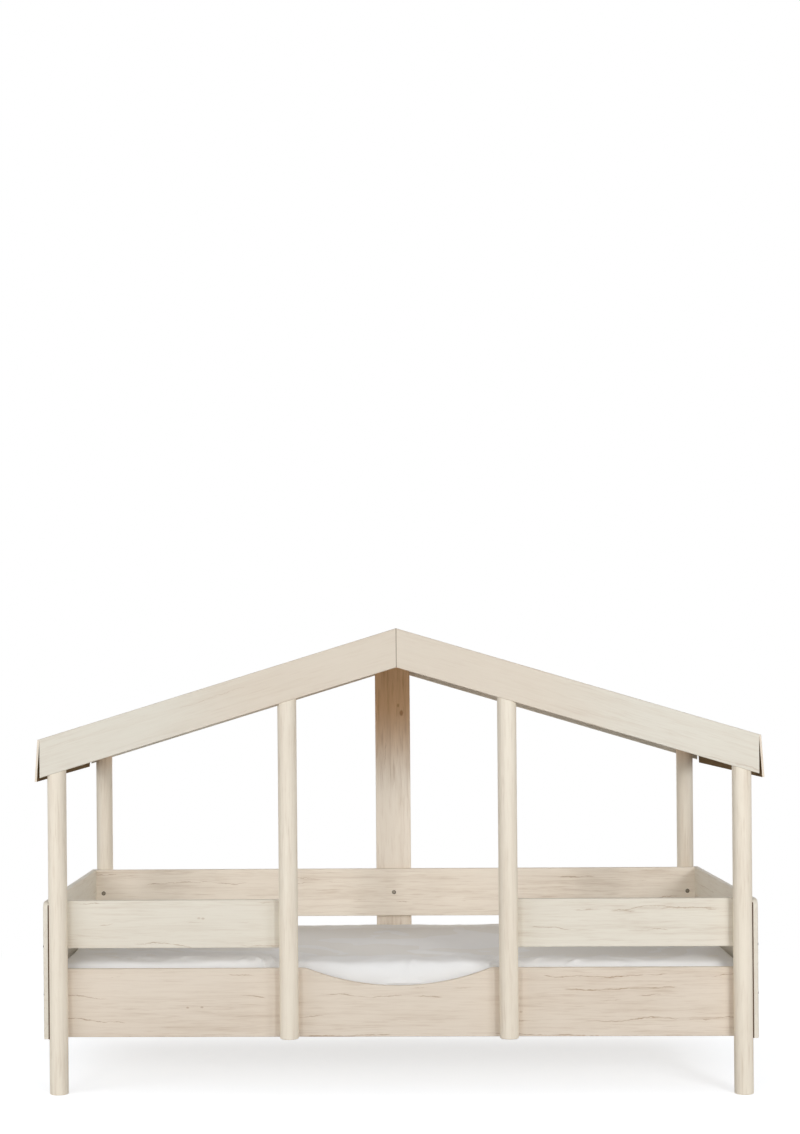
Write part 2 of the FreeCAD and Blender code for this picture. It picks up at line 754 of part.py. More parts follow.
def make_ledger(row):
    """A batten screwed along the inside of a rail, under the slats."""
    body = new_body(f"ledger_{ROWS[row]}", "0", f"{row} * Places.box_y", "Places.ledger_bottom",
                    turn_of(row))
    half = "Places.box_x - Sizes.fit"
    outline = new_sketch(body, "XZ_Plane", "Outline")
    polygon(outline, [(f"-({half})", "0"), (half, "0"), (half, "Sizes.ledger_size"),
                      (f"-({half})", "Sizes.ledger_size")])
    pad(body, outline, "Sizes.ledger_size", reverse=True)
    sunk_holes(body, "Screw", [(across, "Sizes.ledger_size / 2") for across in LEDGER_SCREWS],
               "-Sizes.ledger_size", "Sizes.ledger_size", "Sizes.post_sink", True)


def make_slat(number):
    """One cross slat with eased long edges, resting on both ledgers."""
    body = new_body(f"slat_{number:02d}", f"Places.slat_first + {number - 1} * Places.slat_pitch",
                    "-(Places.box_y - Sizes.edge_round)", "Places.ledger_top")
    half = "Sizes.slat_width / 2"
    outline = new_sketch(body, "XZ_Plane", "Outline")
    polygon(outline, [(f"-{half}", "0"), (half, "0"), (half, "Sizes.slat_thick"),
                      (f"-{half}", "Sizes.slat_thick")])
    pad(body, outline, "2 * (Places.box_y - Sizes.edge_round)", reverse=True)
    dress(body, "Chamfer", "Size", "Sizes.slat_chamfer",
          lambda edge: straight_along(edge, Vector(0, 1, 0)))


def make_tape(row):
    """A woven tape under the slats that keeps their spacing."""
    tape = doc.addObject("Part::Box", f"slat_tape_{ROWS[row]}")
    tape.Label = tape.Name
    tape.setExpression("Length", "2 * -Places.slat_first + Sizes.slat_width")
    tape.setExpression("Width", "Sizes.tape_width")
    tape.setExpression("Height", "Sizes.tape_thick")
    tape.setExpression("Placement.Base.x", "Places.slat_first - Sizes.slat_width / 2")
    tape.setExpression("Placement.Base.y", f"{row} * Sizes.tape_spread / 2 - Sizes.tape_width / 2")
    tape.setExpression("Placement.Base.z", "Places.ledger_top - Sizes.tape_thick")
    nodes.append(tape)


for row in ROWS:
    make_ledger(row)
for number in range(1, int(size("slat_count")) + 1):
    make_slat(number)
for row in ROWS:
    make_tape(row)

# ---------------------------------------------------------------- mattress and sheet

# Height as a share of the thickness, and how far the side is drawn in there as a
# share of the roll at its top edge.  The last step is the low crown of the top.
MATTRESS_PROFILE = [(0.0, 0.5), (0.1, 0), (0.75, 0), (0.95, 0.7), (1.0, 5)]


def rounded_rectangle(length, width, radius, height):
    """A wire of four sides and four quarter-circle corners."""
    x, y = length / 2, width / 2
    quarter = math.sqrt(0.5) * radius
    edges = []
    corners = [(x, y, 1, 1), (-x, y, -1, 1), (-x, -y, -1, -1), (x, -y, 1, -1)]
    for index, (cx, cy, sx, sy) in enumerate(corners):
        centre = Vector(cx - sx * radius, cy - sy * radius, height)
        along_x = centre + Vector(sx * radius, 0, 0)
        along_y = centre + Vector(0, sy * radius, 0)
        middle = centre + Vector(sx * quarter, sy * quarter, 0)
        start, end = (along_x, along_y) if index % 2 == 0 else (along_y, along_x)
        edges.append((start, middle, end))
    wire = []
    for index, (start, middle, end) in enumerate(edges):
        following = edges[(index + 1) % len(edges)][0]
        wire.append(Part.Arc(start, middle, end).toShape())
        wire.append(Part.LineSegment(end, following).toShape())
    return Part.Wire(wire)


def mattress_solid(grow):
    """The mattress form, thickened by a layer of cloth on its sides and top."""
    wires = []
    for share, roll_share in MATTRESS_PROFILE:
        drawn = roll_share * size("mattress_roll")
        height = size("mattress_thick") * share + (grow if share > 0.5 else 0)
        length = size("mattress_length") - 2 * drawn + 2 * grow
        width = size("mattress_width") - 2 * drawn + 2 * grow
        wires.append(rounded_rectangle(length, width, size("mattress_corner") + grow, height))
    return Part.makeLoft(wires, True, True)


def add_feature(name, shape, base=Vector()):
    """A node whose shape is set by code, placed after its shape."""
    feature = doc.addObject("Part::Feature", name)
    feature.Label = name
    feature.Shape = shape
    feature.Placement = Placement(base, Rotation())
    nodes.append(feature)


cloth = size("cloth_thick")
bed_level = Vector(0, 0, place("slat_top"))
mattress_form = mattress_solid(0)
add_feature("mattress", mattress_form, bed_level)
add_feature("fitted_sheet", mattress_solid(cloth).cut(mattress_form), bed_level)

# ---------------------------------------------------------------- fasteners

UP = Vector(0, 0, 1)


def outward_of(row):
    """The way out of the box at the front or at the rear."""
    return Vector(0, row, 0)


def prism(diameter, sides, length, start=0):
    """A regular prism that stands on z = start, with a corner over +X."""
    outline = Part.makePolygon(ring_corners(diameter / 2, sides, Vector(0, 0, start)), True)
    return Part.Face(outline).extrude(Vector(0, 0, length))


def headed(head_dia, head_height, shank_dia, length, sides):
    """A head below z = 0 and a shank above it."""
    return prism(head_dia, sides, head_height, -head_height).fuse(prism(shank_dia, sides, length))


def sleeve_nut():
    """A threaded sleeve, flush with the flat that it is driven into."""
    outer = prism(size("sleeve_dia"), BOLT_SIDES, size("sleeve_length"))
    bore = size("bolt_dia") + 2 * size("hole_room")
    return outer.cut(prism(bore, BOLT_SIDES, size("sleeve_length")))


def set_at(shape, spot, direction):
    """A copy of a fastener with its head's seat at spot, pointing along direction."""
    copy = shape.copy()
    copy.Placement = Placement(spot, Rotation(UP, direction))
    return copy


bolt = headed(size("head_dia"), size("head_height"), size("bolt_dia"), size("bolt_length"),
              BOLT_SIDES)
sleeve = sleeve_nut()
sleeves = []


def add_group(name, fasteners):
    """Identical fasteners as separate solids of one node."""
    add_feature(name, Part.makeCompound(fasteners))


def fixings(spots, seat, flat, direction):
    """Bolts through one set of boards; each gets a sleeve in the wood behind.

    Spots are points in the plane of the joint; seat and flat are how far out the
    head's seat and the post's flat lie along the axis that the bolts point in.
    """
    sleeves.extend(set_at(sleeve, spot + flat, direction) for spot in spots)
    return [set_at(bolt, spot + seat, direction) for spot in spots]


def long_board_bolts(row, stations, heights):
    """Bolts from inside the box, out through a long board."""
    outward = outward_of(row)
    seat = outward * (place("box_y") + size("bore_depth"))
    spots = [Vector(value(across), 0, value(up)) for across in stations for up in heights]
    return fixings(spots, seat, outward * place("long_outer"), outward)


def end_panel_bolts(side):
    """Bolts from outside, in through an end panel."""
    outward = Vector(side, 0, 0)
    seat = outward * (place("box_x") + size("board_thick") - size("bore_depth"))
    spots = [Vector(0, row * place("post_y"), value(up)) for row in ROWS for up in PANEL_HEIGHTS]
    return fixings(spots, seat, outward * place("box_x"), -outward)


add_group("bolts_rail", long_board_bolts(FRONT, FRONT_STATIONS, BOLT_HEIGHTS)
          + long_board_bolts(REAR, REAR_STATIONS, BOLT_HEIGHTS))
add_group("bolts_guard_front", long_board_bolts(FRONT, FRONT_STATIONS, [FRONT_GUARD_BOLT]))
add_group("bolts_guard_rear", long_board_bolts(REAR, REAR_STATIONS, [REAR_GUARD_BOLT]))
add_group("bolts_end_panel", end_panel_bolts(LEFT) + end_panel_bolts(RIGHT))
add_group("sleeve_nuts", sleeves)


def screws(name, length, spots):
    """Wood screws with sunk heads: each spot is a seat and a direction."""
    screw = headed(size("screw_head_dia"), size("screw_head_height"), size("screw_dia"), length,
                   SCREW_SIDES)
    add_group(name, [set_at(screw, seat, way) for seat, way in spots])


def at(across, back, up):
    return Vector(value(across), back, value(up))


def aimed(spots, back, row):
    """Seats in one plane across the bed, each with the way that its screw points."""
    return [(at(across, back, up), outward_of(row)) for across, up in spots]


inner_face = place("fascia_inner")
bite = size("screw_bite")

post_seat = place("post_y") - place("radius") + size("post_sink")
post_spots = []
for row, stations in POST_STATIONS.items():
    line = [(across, up) for across in stations for up in screw_heights(across)]
    post_spots += aimed(mirrored(line), row * post_seat, row)
screws("screws_post", inner_face - post_seat + bite, post_spots)

cleat_seat = inner_face - size("cleat_size") + size("flat_sink")
cleat_spots = []
for row, near, far in CLEATS.values():
    cleat_spots += aimed(mirrored(cleat_screws(near, far)), row * cleat_seat, row)
screws("screws_cleat", inner_face - cleat_seat + bite, cleat_spots)

ledger_seat = place("box_y") - size("ledger_size") + size("post_sink")
ledger_middle = "Places.ledger_bottom + Sizes.ledger_size / 2"
ledger_spots = []
for row in ROWS:
    line = [(across, ledger_middle) for across in LEDGER_SCREWS]
    ledger_spots += aimed(towards(-row, line), row * ledger_seat, row)
screws("screws_ledger", place("box_y") - ledger_seat + bite, ledger_spots)

plate_seat = inner_face - size("plate_thick") + size("flat_sink")
beam_seat = inner_face - size("flat_sink")
screws("screws_ridge_plate", inner_face - plate_seat + bite,
       aimed(mirrored(plate_screws()), -plate_seat, FRONT)
       + aimed(beam_screws(), -beam_seat, REAR))

upright_seat = place("long_outer") + size("flat_sink")
screws("screws_upright", inner_face - upright_seat + bite,
       aimed(mirrored(upright_screws()), upright_seat, REAR)
       + aimed(beam_screws(), beam_seat, FRONT))


def eave_pins():
    """Wire pins through the eave boards into the ends of the fascias."""
    flare = math.radians(size("eave_flare"))
    pins = []
    for side in SIDES:
        for row in ROWS:
            for height in PIN_HEIGHTS:
                down = place("eave_top") - size("eave_inset") - value(height)
                out = down * math.tan(flare) + size("ply_thick") / math.cos(flare)
                back = row * (place("fascia_outer") - size("board_thick") / 2)
                seat = Vector(side * (place("eave_x") + out), back, value(height))
                wire = prism(size("pin_dia"), PIN_SIDES, out + size("pin_bite"))
                pins.append(set_at(wire, seat, Vector(-side, 0, 0)))
    return pins


add_group("eave_pins", eave_pins())

# ---------------------------------------------------------------- checks and files

doc.recompute()
for obj in doc.Objects:
    if "Invalid" in obj.State or "Error" in obj.State:
        raise RuntimeError(f"{obj.Name} failed: {obj.State}")
for node in nodes:
    if node.Shape.isNull() or not node.Shape.isValid():
        raise RuntimeError(f"{node.Label} has no valid shape")

os.makedirs("parts", exist_ok=True)
for node in nodes:
    node.Shape.exportStep(f"parts/{node.Label}.step")
print(len(nodes), "nodes,", sum(len(node.Shape.Solids) for node in nodes), "solids")
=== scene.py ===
import math

import bmesh
import bpy
import numpy as np
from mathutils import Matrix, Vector


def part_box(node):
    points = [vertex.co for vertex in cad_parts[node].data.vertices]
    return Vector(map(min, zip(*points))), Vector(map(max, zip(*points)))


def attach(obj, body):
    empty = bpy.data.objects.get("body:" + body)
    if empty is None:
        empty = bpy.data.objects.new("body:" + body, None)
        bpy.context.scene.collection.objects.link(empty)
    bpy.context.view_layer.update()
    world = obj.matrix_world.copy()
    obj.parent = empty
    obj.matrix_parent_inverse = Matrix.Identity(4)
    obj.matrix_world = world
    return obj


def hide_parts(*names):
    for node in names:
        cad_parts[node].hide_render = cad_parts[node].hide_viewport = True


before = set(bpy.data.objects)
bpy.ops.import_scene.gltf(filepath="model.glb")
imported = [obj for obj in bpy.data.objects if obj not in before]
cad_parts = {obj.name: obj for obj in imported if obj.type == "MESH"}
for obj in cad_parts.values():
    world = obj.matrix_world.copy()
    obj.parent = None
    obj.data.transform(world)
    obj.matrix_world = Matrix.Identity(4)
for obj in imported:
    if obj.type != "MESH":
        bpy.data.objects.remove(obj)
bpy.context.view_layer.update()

scene = bpy.context.scene

# ---------------------------------------------------------------- camera

# The photograph's frame in pixels; its vanishing point and focal length, in the same pixels;
# the camera's place in metres, and its roll and turn in radians.
PHOTO_WIDTH, PHOTO_HEIGHT = 800, 1134
VANISHING_X, VANISHING_Y = 301.2, 686.4
FOCAL_PIXELS = 1941.8
CAMERA_PLACE = Vector((-0.0779, -6.1377, 1.1814))
CAMERA_ROLL, CAMERA_TURN = 0.0082, 0.0351


def make_camera():
    """A camera that looks level, shifted so that its frame is the photograph's."""
    camera = bpy.data.objects.new("camera", bpy.data.cameras.new("camera"))
    scene.collection.objects.link(camera)
    camera.location = CAMERA_PLACE
    camera.rotation_euler = (math.pi / 2, CAMERA_ROLL, CAMERA_TURN)
    camera.data.lens = FOCAL_PIXELS * camera.data.sensor_width / PHOTO_HEIGHT
    camera.data.shift_x = (PHOTO_WIDTH / 2 - VANISHING_X) / PHOTO_HEIGHT
    camera.data.shift_y = (VANISHING_Y - PHOTO_HEIGHT / 2) / PHOTO_HEIGHT
    scene.camera = camera


make_camera()

# ---------------------------------------------------------------- node helpers


def linear(red, green, blue):
    """A display colour of 0 to 255 as the linear colour that shaders take."""
    def channel(c):
        c /= 255
        return c / 12.92 if c <= 0.04045 else ((c + 0.055) / 1.055) ** 2.4
    return (channel(red), channel(green), channel(blue), 1.0)


class Nodes:
    """A short way to write a node tree."""

    def __init__(self, tree):
        self.tree = tree

    def add(self, kind, inputs=None, **settings):
        node = self.tree.nodes.new(kind)
        for key, content in settings.items():
            setattr(node, key, content)
        for key, content in (inputs or {}).items():
            self.feed(node.inputs[key], content)
        return node

    def feed(self, socket, content):
        """Link a socket, or set a plain value."""
        if isinstance(content, bpy.types.NodeSocket):
            self.tree.links.new(content, socket)
        elif content is not None:
            socket.default_value = content

    def math(self, operation, a, b=None, clamp=False):
        node = self.add("ShaderNodeMath", operation=operation, use_clamp=clamp)
        self.feed(node.inputs[0], a)
        self.feed(node.inputs[1], b)
        return node.outputs[0]

    def vector(self, operation, a, b=None, scale=None):
        node = self.add("ShaderNodeVectorMath", operation=operation)
        self.feed(node.inputs[0], a)
        self.feed(node.inputs[1], b)
        if operation == "SCALE":
            self.feed(node.inputs["Scale"], scale)
        return node.outputs["Value" if operation in ("LENGTH", "DOT_PRODUCT") else "Vector"]

    def noise(self, place, scale, detail=2.0, roughness=0.5):
        node = self.add("ShaderNodeTexNoise", {
            "Vector": place, "Scale": scale, "Detail": detail, "Roughness": roughness})
        return node.outputs["Fac"]

    def band(self, value, low, high, to_low=0.0, to_high=1.0):
        """A smooth step of a value between two levels."""
        node = self.add("ShaderNodeMapRange", {
            "Value": value, "From Min": low, "From Max": high,
            "To Min": to_low, "To Max": to_high}, interpolation_type="SMOOTHSTEP")
        return node.outputs["Result"]

    def mix(self, factor, a, b, blend="MIX"):
        node = self.add("ShaderNodeMix", data_type="RGBA", blend_type=blend)
        self.feed(node.inputs["Factor"], factor)
        self.feed(node.inputs[6], a)
        self.feed(node.inputs[7], b)
        return node.outputs[2]

    def tinted(self, share, colour, tint):
        """A colour multiplied by a tint, as far as the share says."""
        return self.mix(share, colour, self.mix(1.0, colour, tint, "MULTIPLY"))

    def coordinate(self, axis, kind="Object"):
        """One axis of the place or the normal on a piece."""
        parts = self.add("ShaderNodeSeparateXYZ", {
            "Vector": self.add("ShaderNodeTexCoord").outputs[kind]})
        return parts.outputs[axis]


def bare_tree(owner):
    """An empty node tree on a material or a world."""
    owner.use_nodes = True
    owner.node_tree.nodes.clear()
    return Nodes(owner.node_tree)


def new_material(name):
    """A material with one Principled shader; gives the material, its nodes and the shader."""
    material = bpy.data.materials.new(name)
    nodes = bare_tree(material)
    shader = nodes.add("ShaderNodeBsdfPrincipled")
    nodes.add("ShaderNodeOutputMaterial", {"Surface": shader.outputs["BSDF"]})
    return material, nodes, shader


def bump(nodes, shader, height, distance, strength):
    """Relief of a surface: how high it stands in metres, and how far it shows."""
    node = nodes.add("ShaderNodeBump", {
        "Height": height, "Distance": distance, "Strength": strength})
    nodes.feed(shader.inputs["Normal"], node.outputs["Normal"])


# ---------------------------------------------------------------- wood

ALONG_X = (0, 0, 0)
ALONG_Y = (0, 0, -math.pi / 2)
ALONG_Z = (0, math.pi / 2, 0)

# Knots: one cell of this size may hold one, in metres along and across the grain. A knot is
# longer along the grain by this ratio. Radii in metres: the far and the near one between which
# the rings swell round it, and those between which its dark core fills.
KNOT_CELL = (0.62, 0.17)
KNOT_LENGTH = 1.7
KNOT_SWELL = (0.055, 0.0)
KNOT_CORE = (0.0065, 0.003)
# A chosen knot: how far its swell reaches and where its core is full, in times its size.
CHOSEN_SWELL, CHOSEN_CORE = 5, 0.4
# Spacing of the growth rings on the face of a board, how far they drift, tremble and bend
# round a knot, all in metres, and how much of the depth across the board counts.
RING_SPACING = 0.0085
RING_DRIFT, RING_JITTER, RING_BEND = 0.09, 0.006, 0.03
DEPTH_SHARE = 0.6
# Levels between which the late wood of a ring darkens, and between which rings show at all.
LATE_WOOD, RINGS_SHOWN = (0.1, 1.0), (0.48, 0.72)
# Noises of the grain: cells per metre along and across it, detail and roughness.
GRAIN_NOISES = {
    "drift": (0.55, 5.0, 3.0, 0.45),
    "jitter": (11.0, 60.0, 2.0, 0.5),
    "shown": (1.1, 9.0, 2.0, 0.5),
    "streaks": (3.0, 62.0, 5.0, 0.66),
    "ticks": (11.0, 170.0, 2.0, 0.6),
    "fibre": (14.0, 420.0, 3.0, 0.65),
    "clouds": (1.1, 5.0, 2.0, 0.5),
    "patches": (1.7, 7.0, 2.0, 0.6),
    "ragged": (26.0, 30.0, 3.0, 0.7),
    "fine": (40.0, 40.0, 2.0, 0.5),
}
# How noises darken the wood: two levels of each, and its share.
DARKENING = [("streaks", 0.42, 0.78, 0.42), ("ticks", 0.50, 0.75, 0.34),
             ("fibre", 0.45, 0.75, 0.20), ("clouds", 0.35, 0.75, 0.22)]
# Shares in the darkening: of the rings, of rings and noises together, of hair cracks and of
# knots.
RING_SHARE, NOISE_SHARE, CRACK_SHARE, CORE_SHARE = 0.05, 0.5, 0.5, 0.8
# Patches with more and with less grain: two levels, and the shares that they give.
PATCH_LEVELS, PATCH_SHARES = (0.36, 0.62), (0.55, 1.25)
# Hair cracks: spacing and half width of the lines in metres, cells per metre of their bends
# along the grain, the two levels of the mask that breaks them up, and a shift of the set.
HAIR_CRACKS = [(0.085, 0.0011, 1.7, 0.53, 0.60, 0.0), (0.038, 0.0008, 4.5, 0.56, 0.62, 5.3)]
# Their bends and their raggedness in metres, the cells of the bends per metre across, the
# cells of the mask per metre along and per line across, and two levels with the shares of
# their width.
CRACK_BEND, CRACK_RAGGED, CRACK_BEND_CELLS = 0.035, 0.008, 4.0
CRACK_MASK = (4.2, 1.3)
CRACK_THINNING = (0.3, 0.7, 0.3, 1.0)
# Roughness of the glaze between two levels of the streaks, its gloss, and the relief: shares
# of the fibre and of a knot, its height in metres and its strength.
WOOD_ROUGHNESS = (0.3, 0.8, 0.46, 0.60)
GLAZED, UNGLAZED = 0.12, 0.0
FIBRE_RELIEF, CORE_RELIEF, RELIEF, RELIEF_STRENGTH = 0.3, 0.6, 0.00035, 0.6
# What one seed moves the pattern by, in metres.
SEED_STEP = (3.71, 1.37, 2.93)


def wood_place(nodes, turn, seed):
    """Object coordinates turned so that the grain runs along x, and the same moved by a seed."""
    coordinates = nodes.add("ShaderNodeTexCoord").outputs["Object"]
    turned = nodes.add("ShaderNodeMapping", {"Vector": coordinates, "Rotation": turn},
                       vector_type="POINT").outputs["Vector"]
    return turned, nodes.vector("ADD", turned, tuple(seed * step for step in SEED_STEP))


def stretched(nodes, place, along, across):
    """A place scaled to cells along and across the grain."""
    return nodes.vector("MULTIPLY", place, (along, across, across))


def grain_noise(nodes, place, kind):
    """One of the noises of the grain."""
    along, across, detail, roughness = GRAIN_NOISES[kind]
    return nodes.noise(stretched(nodes, place, along, across), 1.0, detail, roughness)


def knot_field(nodes, place, share):
    """Distance from the middle of the nearest cell's knot, and 1 where the cell holds one."""
    cells = nodes.vector("MULTIPLY", place, (1 / KNOT_CELL[0], 1 / KNOT_CELL[1], 0))
    voronoi = nodes.add("ShaderNodeTexVoronoi", {"Vector": cells, "Scale": 1.0},
                        voronoi_dimensions="3D")
    away = nodes.vector("SUBTRACT", cells, voronoi.outputs["Position"])
    real = nodes.vector("MULTIPLY", away, (KNOT_CELL[0] / KNOT_LENGTH, KNOT_CELL[1], 0))
    reach = nodes.vector("LENGTH", real)
    colour = nodes.add("ShaderNodeSeparateColor", {"Color": voronoi.outputs["Color"]})
    present = nodes.math("LESS_THAN", colour.outputs["Red"], share)
    return reach, present


def chosen_knot(nodes, plain, along, height):
    """Distance from a knot at a chosen spot of a board's face."""
    away = nodes.vector("SUBTRACT", plain, (along, 0, height))
    return nodes.vector("LENGTH", nodes.vector("MULTIPLY", away, (1 / KNOT_LENGTH, 0, 1)))


def hair_cracks(nodes, place, across, spacing, half_width, bends, low, high, shift):
    """Broken wavy lines along the grain: 1 on a line."""
    moved = nodes.vector("ADD", place, (shift, shift, shift))
    bend = nodes.noise(stretched(nodes, moved, bends, CRACK_BEND_CELLS), 1.0)
    ragged = grain_noise(nodes, moved, "ragged")
    line = nodes.math("ADD", nodes.math("DIVIDE", across, spacing),
                      nodes.math("MULTIPLY", bend, CRACK_BEND / spacing))
    line = nodes.math("ADD", line, nodes.math("MULTIPLY", ragged, CRACK_RAGGED / spacing))
    away = nodes.math("ABSOLUTE", nodes.math("SUBTRACT", nodes.math("FRACT", line), 0.5))
    away = nodes.math("MULTIPLY", away, spacing)
    cells_along, cells_across = CRACK_MASK
    mask = nodes.noise(stretched(nodes, moved, cells_along, cells_across / spacing), 1.0)
    fine = grain_noise(nodes, moved, "fine")
    width = nodes.math("MULTIPLY", nodes.band(fine, *CRACK_THINNING), half_width)
    drawn = nodes.math("LESS_THAN", away, width)
    return nodes.math("MULTIPLY", drawn, nodes.band(mask, low, high))


def knots_on(nodes, plain, place, share, spots):
    """How far the rings swell round knots, and the dark cores: those by chance and the chosen."""
    reach, present = knot_field(nodes, place, share)
    swell = nodes.math("MULTIPLY", nodes.band(reach, *KNOT_SWELL), present)
    core = nodes.math("MULTIPLY", nodes.band(reach, *KNOT_CORE), present)
    for along, height, size, strength in spots:
        reach = chosen_knot(nodes, plain, along, height)
        swell = nodes.math("MAXIMUM", swell, nodes.band(reach, CHOSEN_SWELL * size, 0.0))
        fleck = nodes.math("MULTIPLY", nodes.band(reach, size, CHOSEN_CORE * size), strength)
        core = nodes.math("MAXIMUM", core, fleck)
    return swell, core


def late_wood(nodes, place, across, swell):
    """The dark side of each growth ring, where rings show."""
    rings = across
    for field, reach in ((grain_noise(nodes, place, "drift"), RING_DRIFT),
                         (grain_noise(nodes, place, "jitter"), RING_JITTER),
                         (swell, RING_BEND)):
        rings = nodes.math("ADD", rings, nodes.math("MULTIPLY", field, reach))
    wave = nodes.math("SINE", nodes.math("MULTIPLY", rings, 2 * math.pi / RING_SPACING))
    shown = nodes.band(grain_noise(nodes, place, "shown"), *RINGS_SHOWN)
    return nodes.math("MULTIPLY", nodes.band(wave, *LATE_WOOD), shown)


def wood(name, base, dark, turn, seed, contrast=1.0, knots=0.35, cracked=1.0, spots=(),
         tone=None, gloss=GLAZED):
    """Pale glazed timber: growth rings that bend round knots, streaks, pores and hair cracks."""
    material, nodes, shader = new_material(name)
    plain, place = wood_place(nodes, turn, seed)
    parts = nodes.add("ShaderNodeSeparateXYZ", {"Vector": place})
    across = nodes.math("ADD", parts.outputs["Y"],
                        nodes.math("MULTIPLY", parts.outputs["Z"], DEPTH_SHARE))
    swell, core = knots_on(nodes, plain, place, knots, spots)
    fields = {kind: grain_noise(nodes, place, kind) for kind, *_ in DARKENING}
    cracks = [hair_cracks(nodes, place, across, *row) for row in HAIR_CRACKS]
    crack = nodes.math("MAXIMUM", cracks[0], cracks[1])

    amount = nodes.math("MULTIPLY", late_wood(nodes, place, across, swell), RING_SHARE)
    for kind, low, high, share in DARKENING:
        amount = nodes.math("ADD", amount,
                            nodes.math("MULTIPLY", nodes.band(fields[kind], low, high), share))
    patches = nodes.band(grain_noise(nodes, place, "patches"), *PATCH_LEVELS, *PATCH_SHARES)
    amount = nodes.math("MULTIPLY", amount, patches)
    amount = nodes.math("MULTIPLY", amount, NOISE_SHARE * contrast, clamp=True)
    for mark, share in ((crack, CRACK_SHARE * cracked), (core, CORE_SHARE)):
        amount = nodes.math("ADD", amount, nodes.math("MULTIPLY", mark, share), clamp=True)
    colour = nodes.mix(amount, base, dark)
    if tone:
        colour = tone(nodes, colour)
    nodes.feed(shader.inputs["Base Color"], colour)

    nodes.feed(shader.inputs["Roughness"], nodes.band(fields["streaks"], *WOOD_ROUGHNESS))
    shader.inputs["Specular IOR Level"].default_value = gloss
    height = nodes.math("SUBTRACT", nodes.math("MULTIPLY", fields["fibre"], FIBRE_RELIEF), crack)
    height = nodes.math("SUBTRACT", height, nodes.math("MULTIPLY", core, CORE_RELIEF))
    bump(nodes, shader, height, RELIEF, RELIEF_STRENGTH)
    return material


# Levels between which a tone sets in. Heights at which painted roof shade browns rear timber,
# distances from the ridge at which painted shade warms and darkens the gable and at which the line
# of its mitre ends, all in metres.
POST_SHADE_HEIGHTS, UPRIGHT_SHADE_HEIGHTS = (0.86, 1.04), (0.84, 1.14)
GABLE_SHADE_REACH, MITRE_LINE = (0.75, 0.35), (0.0011, 0.0004)
# A face's direction where painted shade begins: on the underside of a roof panel and on the inside
# of an eave board.
SHADED_UNDERSIDE, SHADED_INSIDE = (0.05, -0.15), (-0.3, -0.6)
# Where the painted shadow line beside the posts runs on the end panels' edge, from the bed's middle
# along and across it, in metres.
SHADE_LINE_ALONG, SHADE_LINE_ACROSS = (1.0200, 1.0190), (0.5120, 0.5128)


def painted_roof_shade(low, high):
    """Painted roof shade: timber browned between two heights, as the roof shades it."""
    def tone(nodes, colour):
        return nodes.tinted(nodes.band(nodes.coordinate("Z"), low, high), colour, ROOF_SHADE_PAINT)
    return tone


def gable_shade_and_mitre(nodes, colour):
    """Gable boards with painted shade, warmer and darker towards the ridge, and the thin dark joint
    between them.
    """
    away = nodes.math("ABSOLUTE", nodes.coordinate("X"))
    colour = nodes.tinted(nodes.band(away, *GABLE_SHADE_REACH), colour, GABLE_SHADE_TINT)
    return nodes.mix(nodes.band(away, *MITRE_LINE), colour, JOINT_AND_SHADE_LINE)


def painted_shade_below(nodes, colour):
    """Painted shade: the underside of a roof board made browner than its top."""
    facing = nodes.coordinate("Z", "Normal")
    return nodes.tinted(nodes.band(facing, *SHADED_UNDERSIDE), colour, SHADE)


def painted_shade_inside(nodes, colour):
    """Painted shade: the inner face of an eave board made browner."""
    outward = nodes.math("MULTIPLY", nodes.coordinate("X", "Normal"),
                         nodes.math("SIGN", nodes.coordinate("X")))
    return nodes.tinted(nodes.band(outward, *SHADED_INSIDE), colour, SHADE)


def painted_shade_by_post(nodes, colour):
    """A painted shadow line between a head or foot board and its posts, seen on the board's edge.
    """
    along = nodes.math("ABSOLUTE", nodes.coordinate("X"))
    across = nodes.math("ABSOLUTE", nodes.coordinate("Y"))
    shown = nodes.math("MULTIPLY", nodes.band(along, *SHADE_LINE_ALONG),
                       nodes.band(across, *SHADE_LINE_ACROSS))
    return nodes.mix(shown, colour, JOINT_AND_SHADE_LINE)


# ---------------------------------------------------------------- other finishes


# Brushed metal: cells of its grain per metre, the grain's levels, and how far its roughness
# falls and rises with the grain.
STEEL_CELLS, STEEL_LEVELS, STEEL_FALL, STEEL_RISE = 900.0, (0.2, 0.8), 0.06, 0.1
# Cloth: the wobble of its threads, in cells and in metres; its slubs, in cells per metre and
# stretch; their levels; the share of weave and of slubs in the colour; the surface; the relief.
WOBBLE_CELLS, WOBBLE = 60.0, 0.0006
SLUB_CELLS, SLUB_STRETCH, SLUB_LEVELS = 30.0, (1.0, 9.0, 4.0), (0.3, 0.8)
THREAD_SHARE = 0.5
CLOTH_SURFACE = {"Roughness": 0.85, "Specular IOR Level": 0.15,
                 "Sheen Weight": 0.25, "Sheen Roughness": 0.5}
WEAVE_RELIEF, WEAVE_STRENGTH = 0.00012, 0.5


def steel(name, base, roughness):
    """Metal with a fine grain in its roughness."""
    material, nodes, shader = new_material(name)
    coordinates = nodes.add("ShaderNodeTexCoord").outputs["Object"]
    grain = nodes.noise(coordinates, STEEL_CELLS, detail=3.0)
    shader.inputs["Base Color"].default_value = base
    shader.inputs["Metallic"].default_value = 1.0
    nodes.feed(shader.inputs["Roughness"], nodes.band(
        grain, *STEEL_LEVELS, roughness - STEEL_FALL, roughness + STEEL_RISE))
    return material


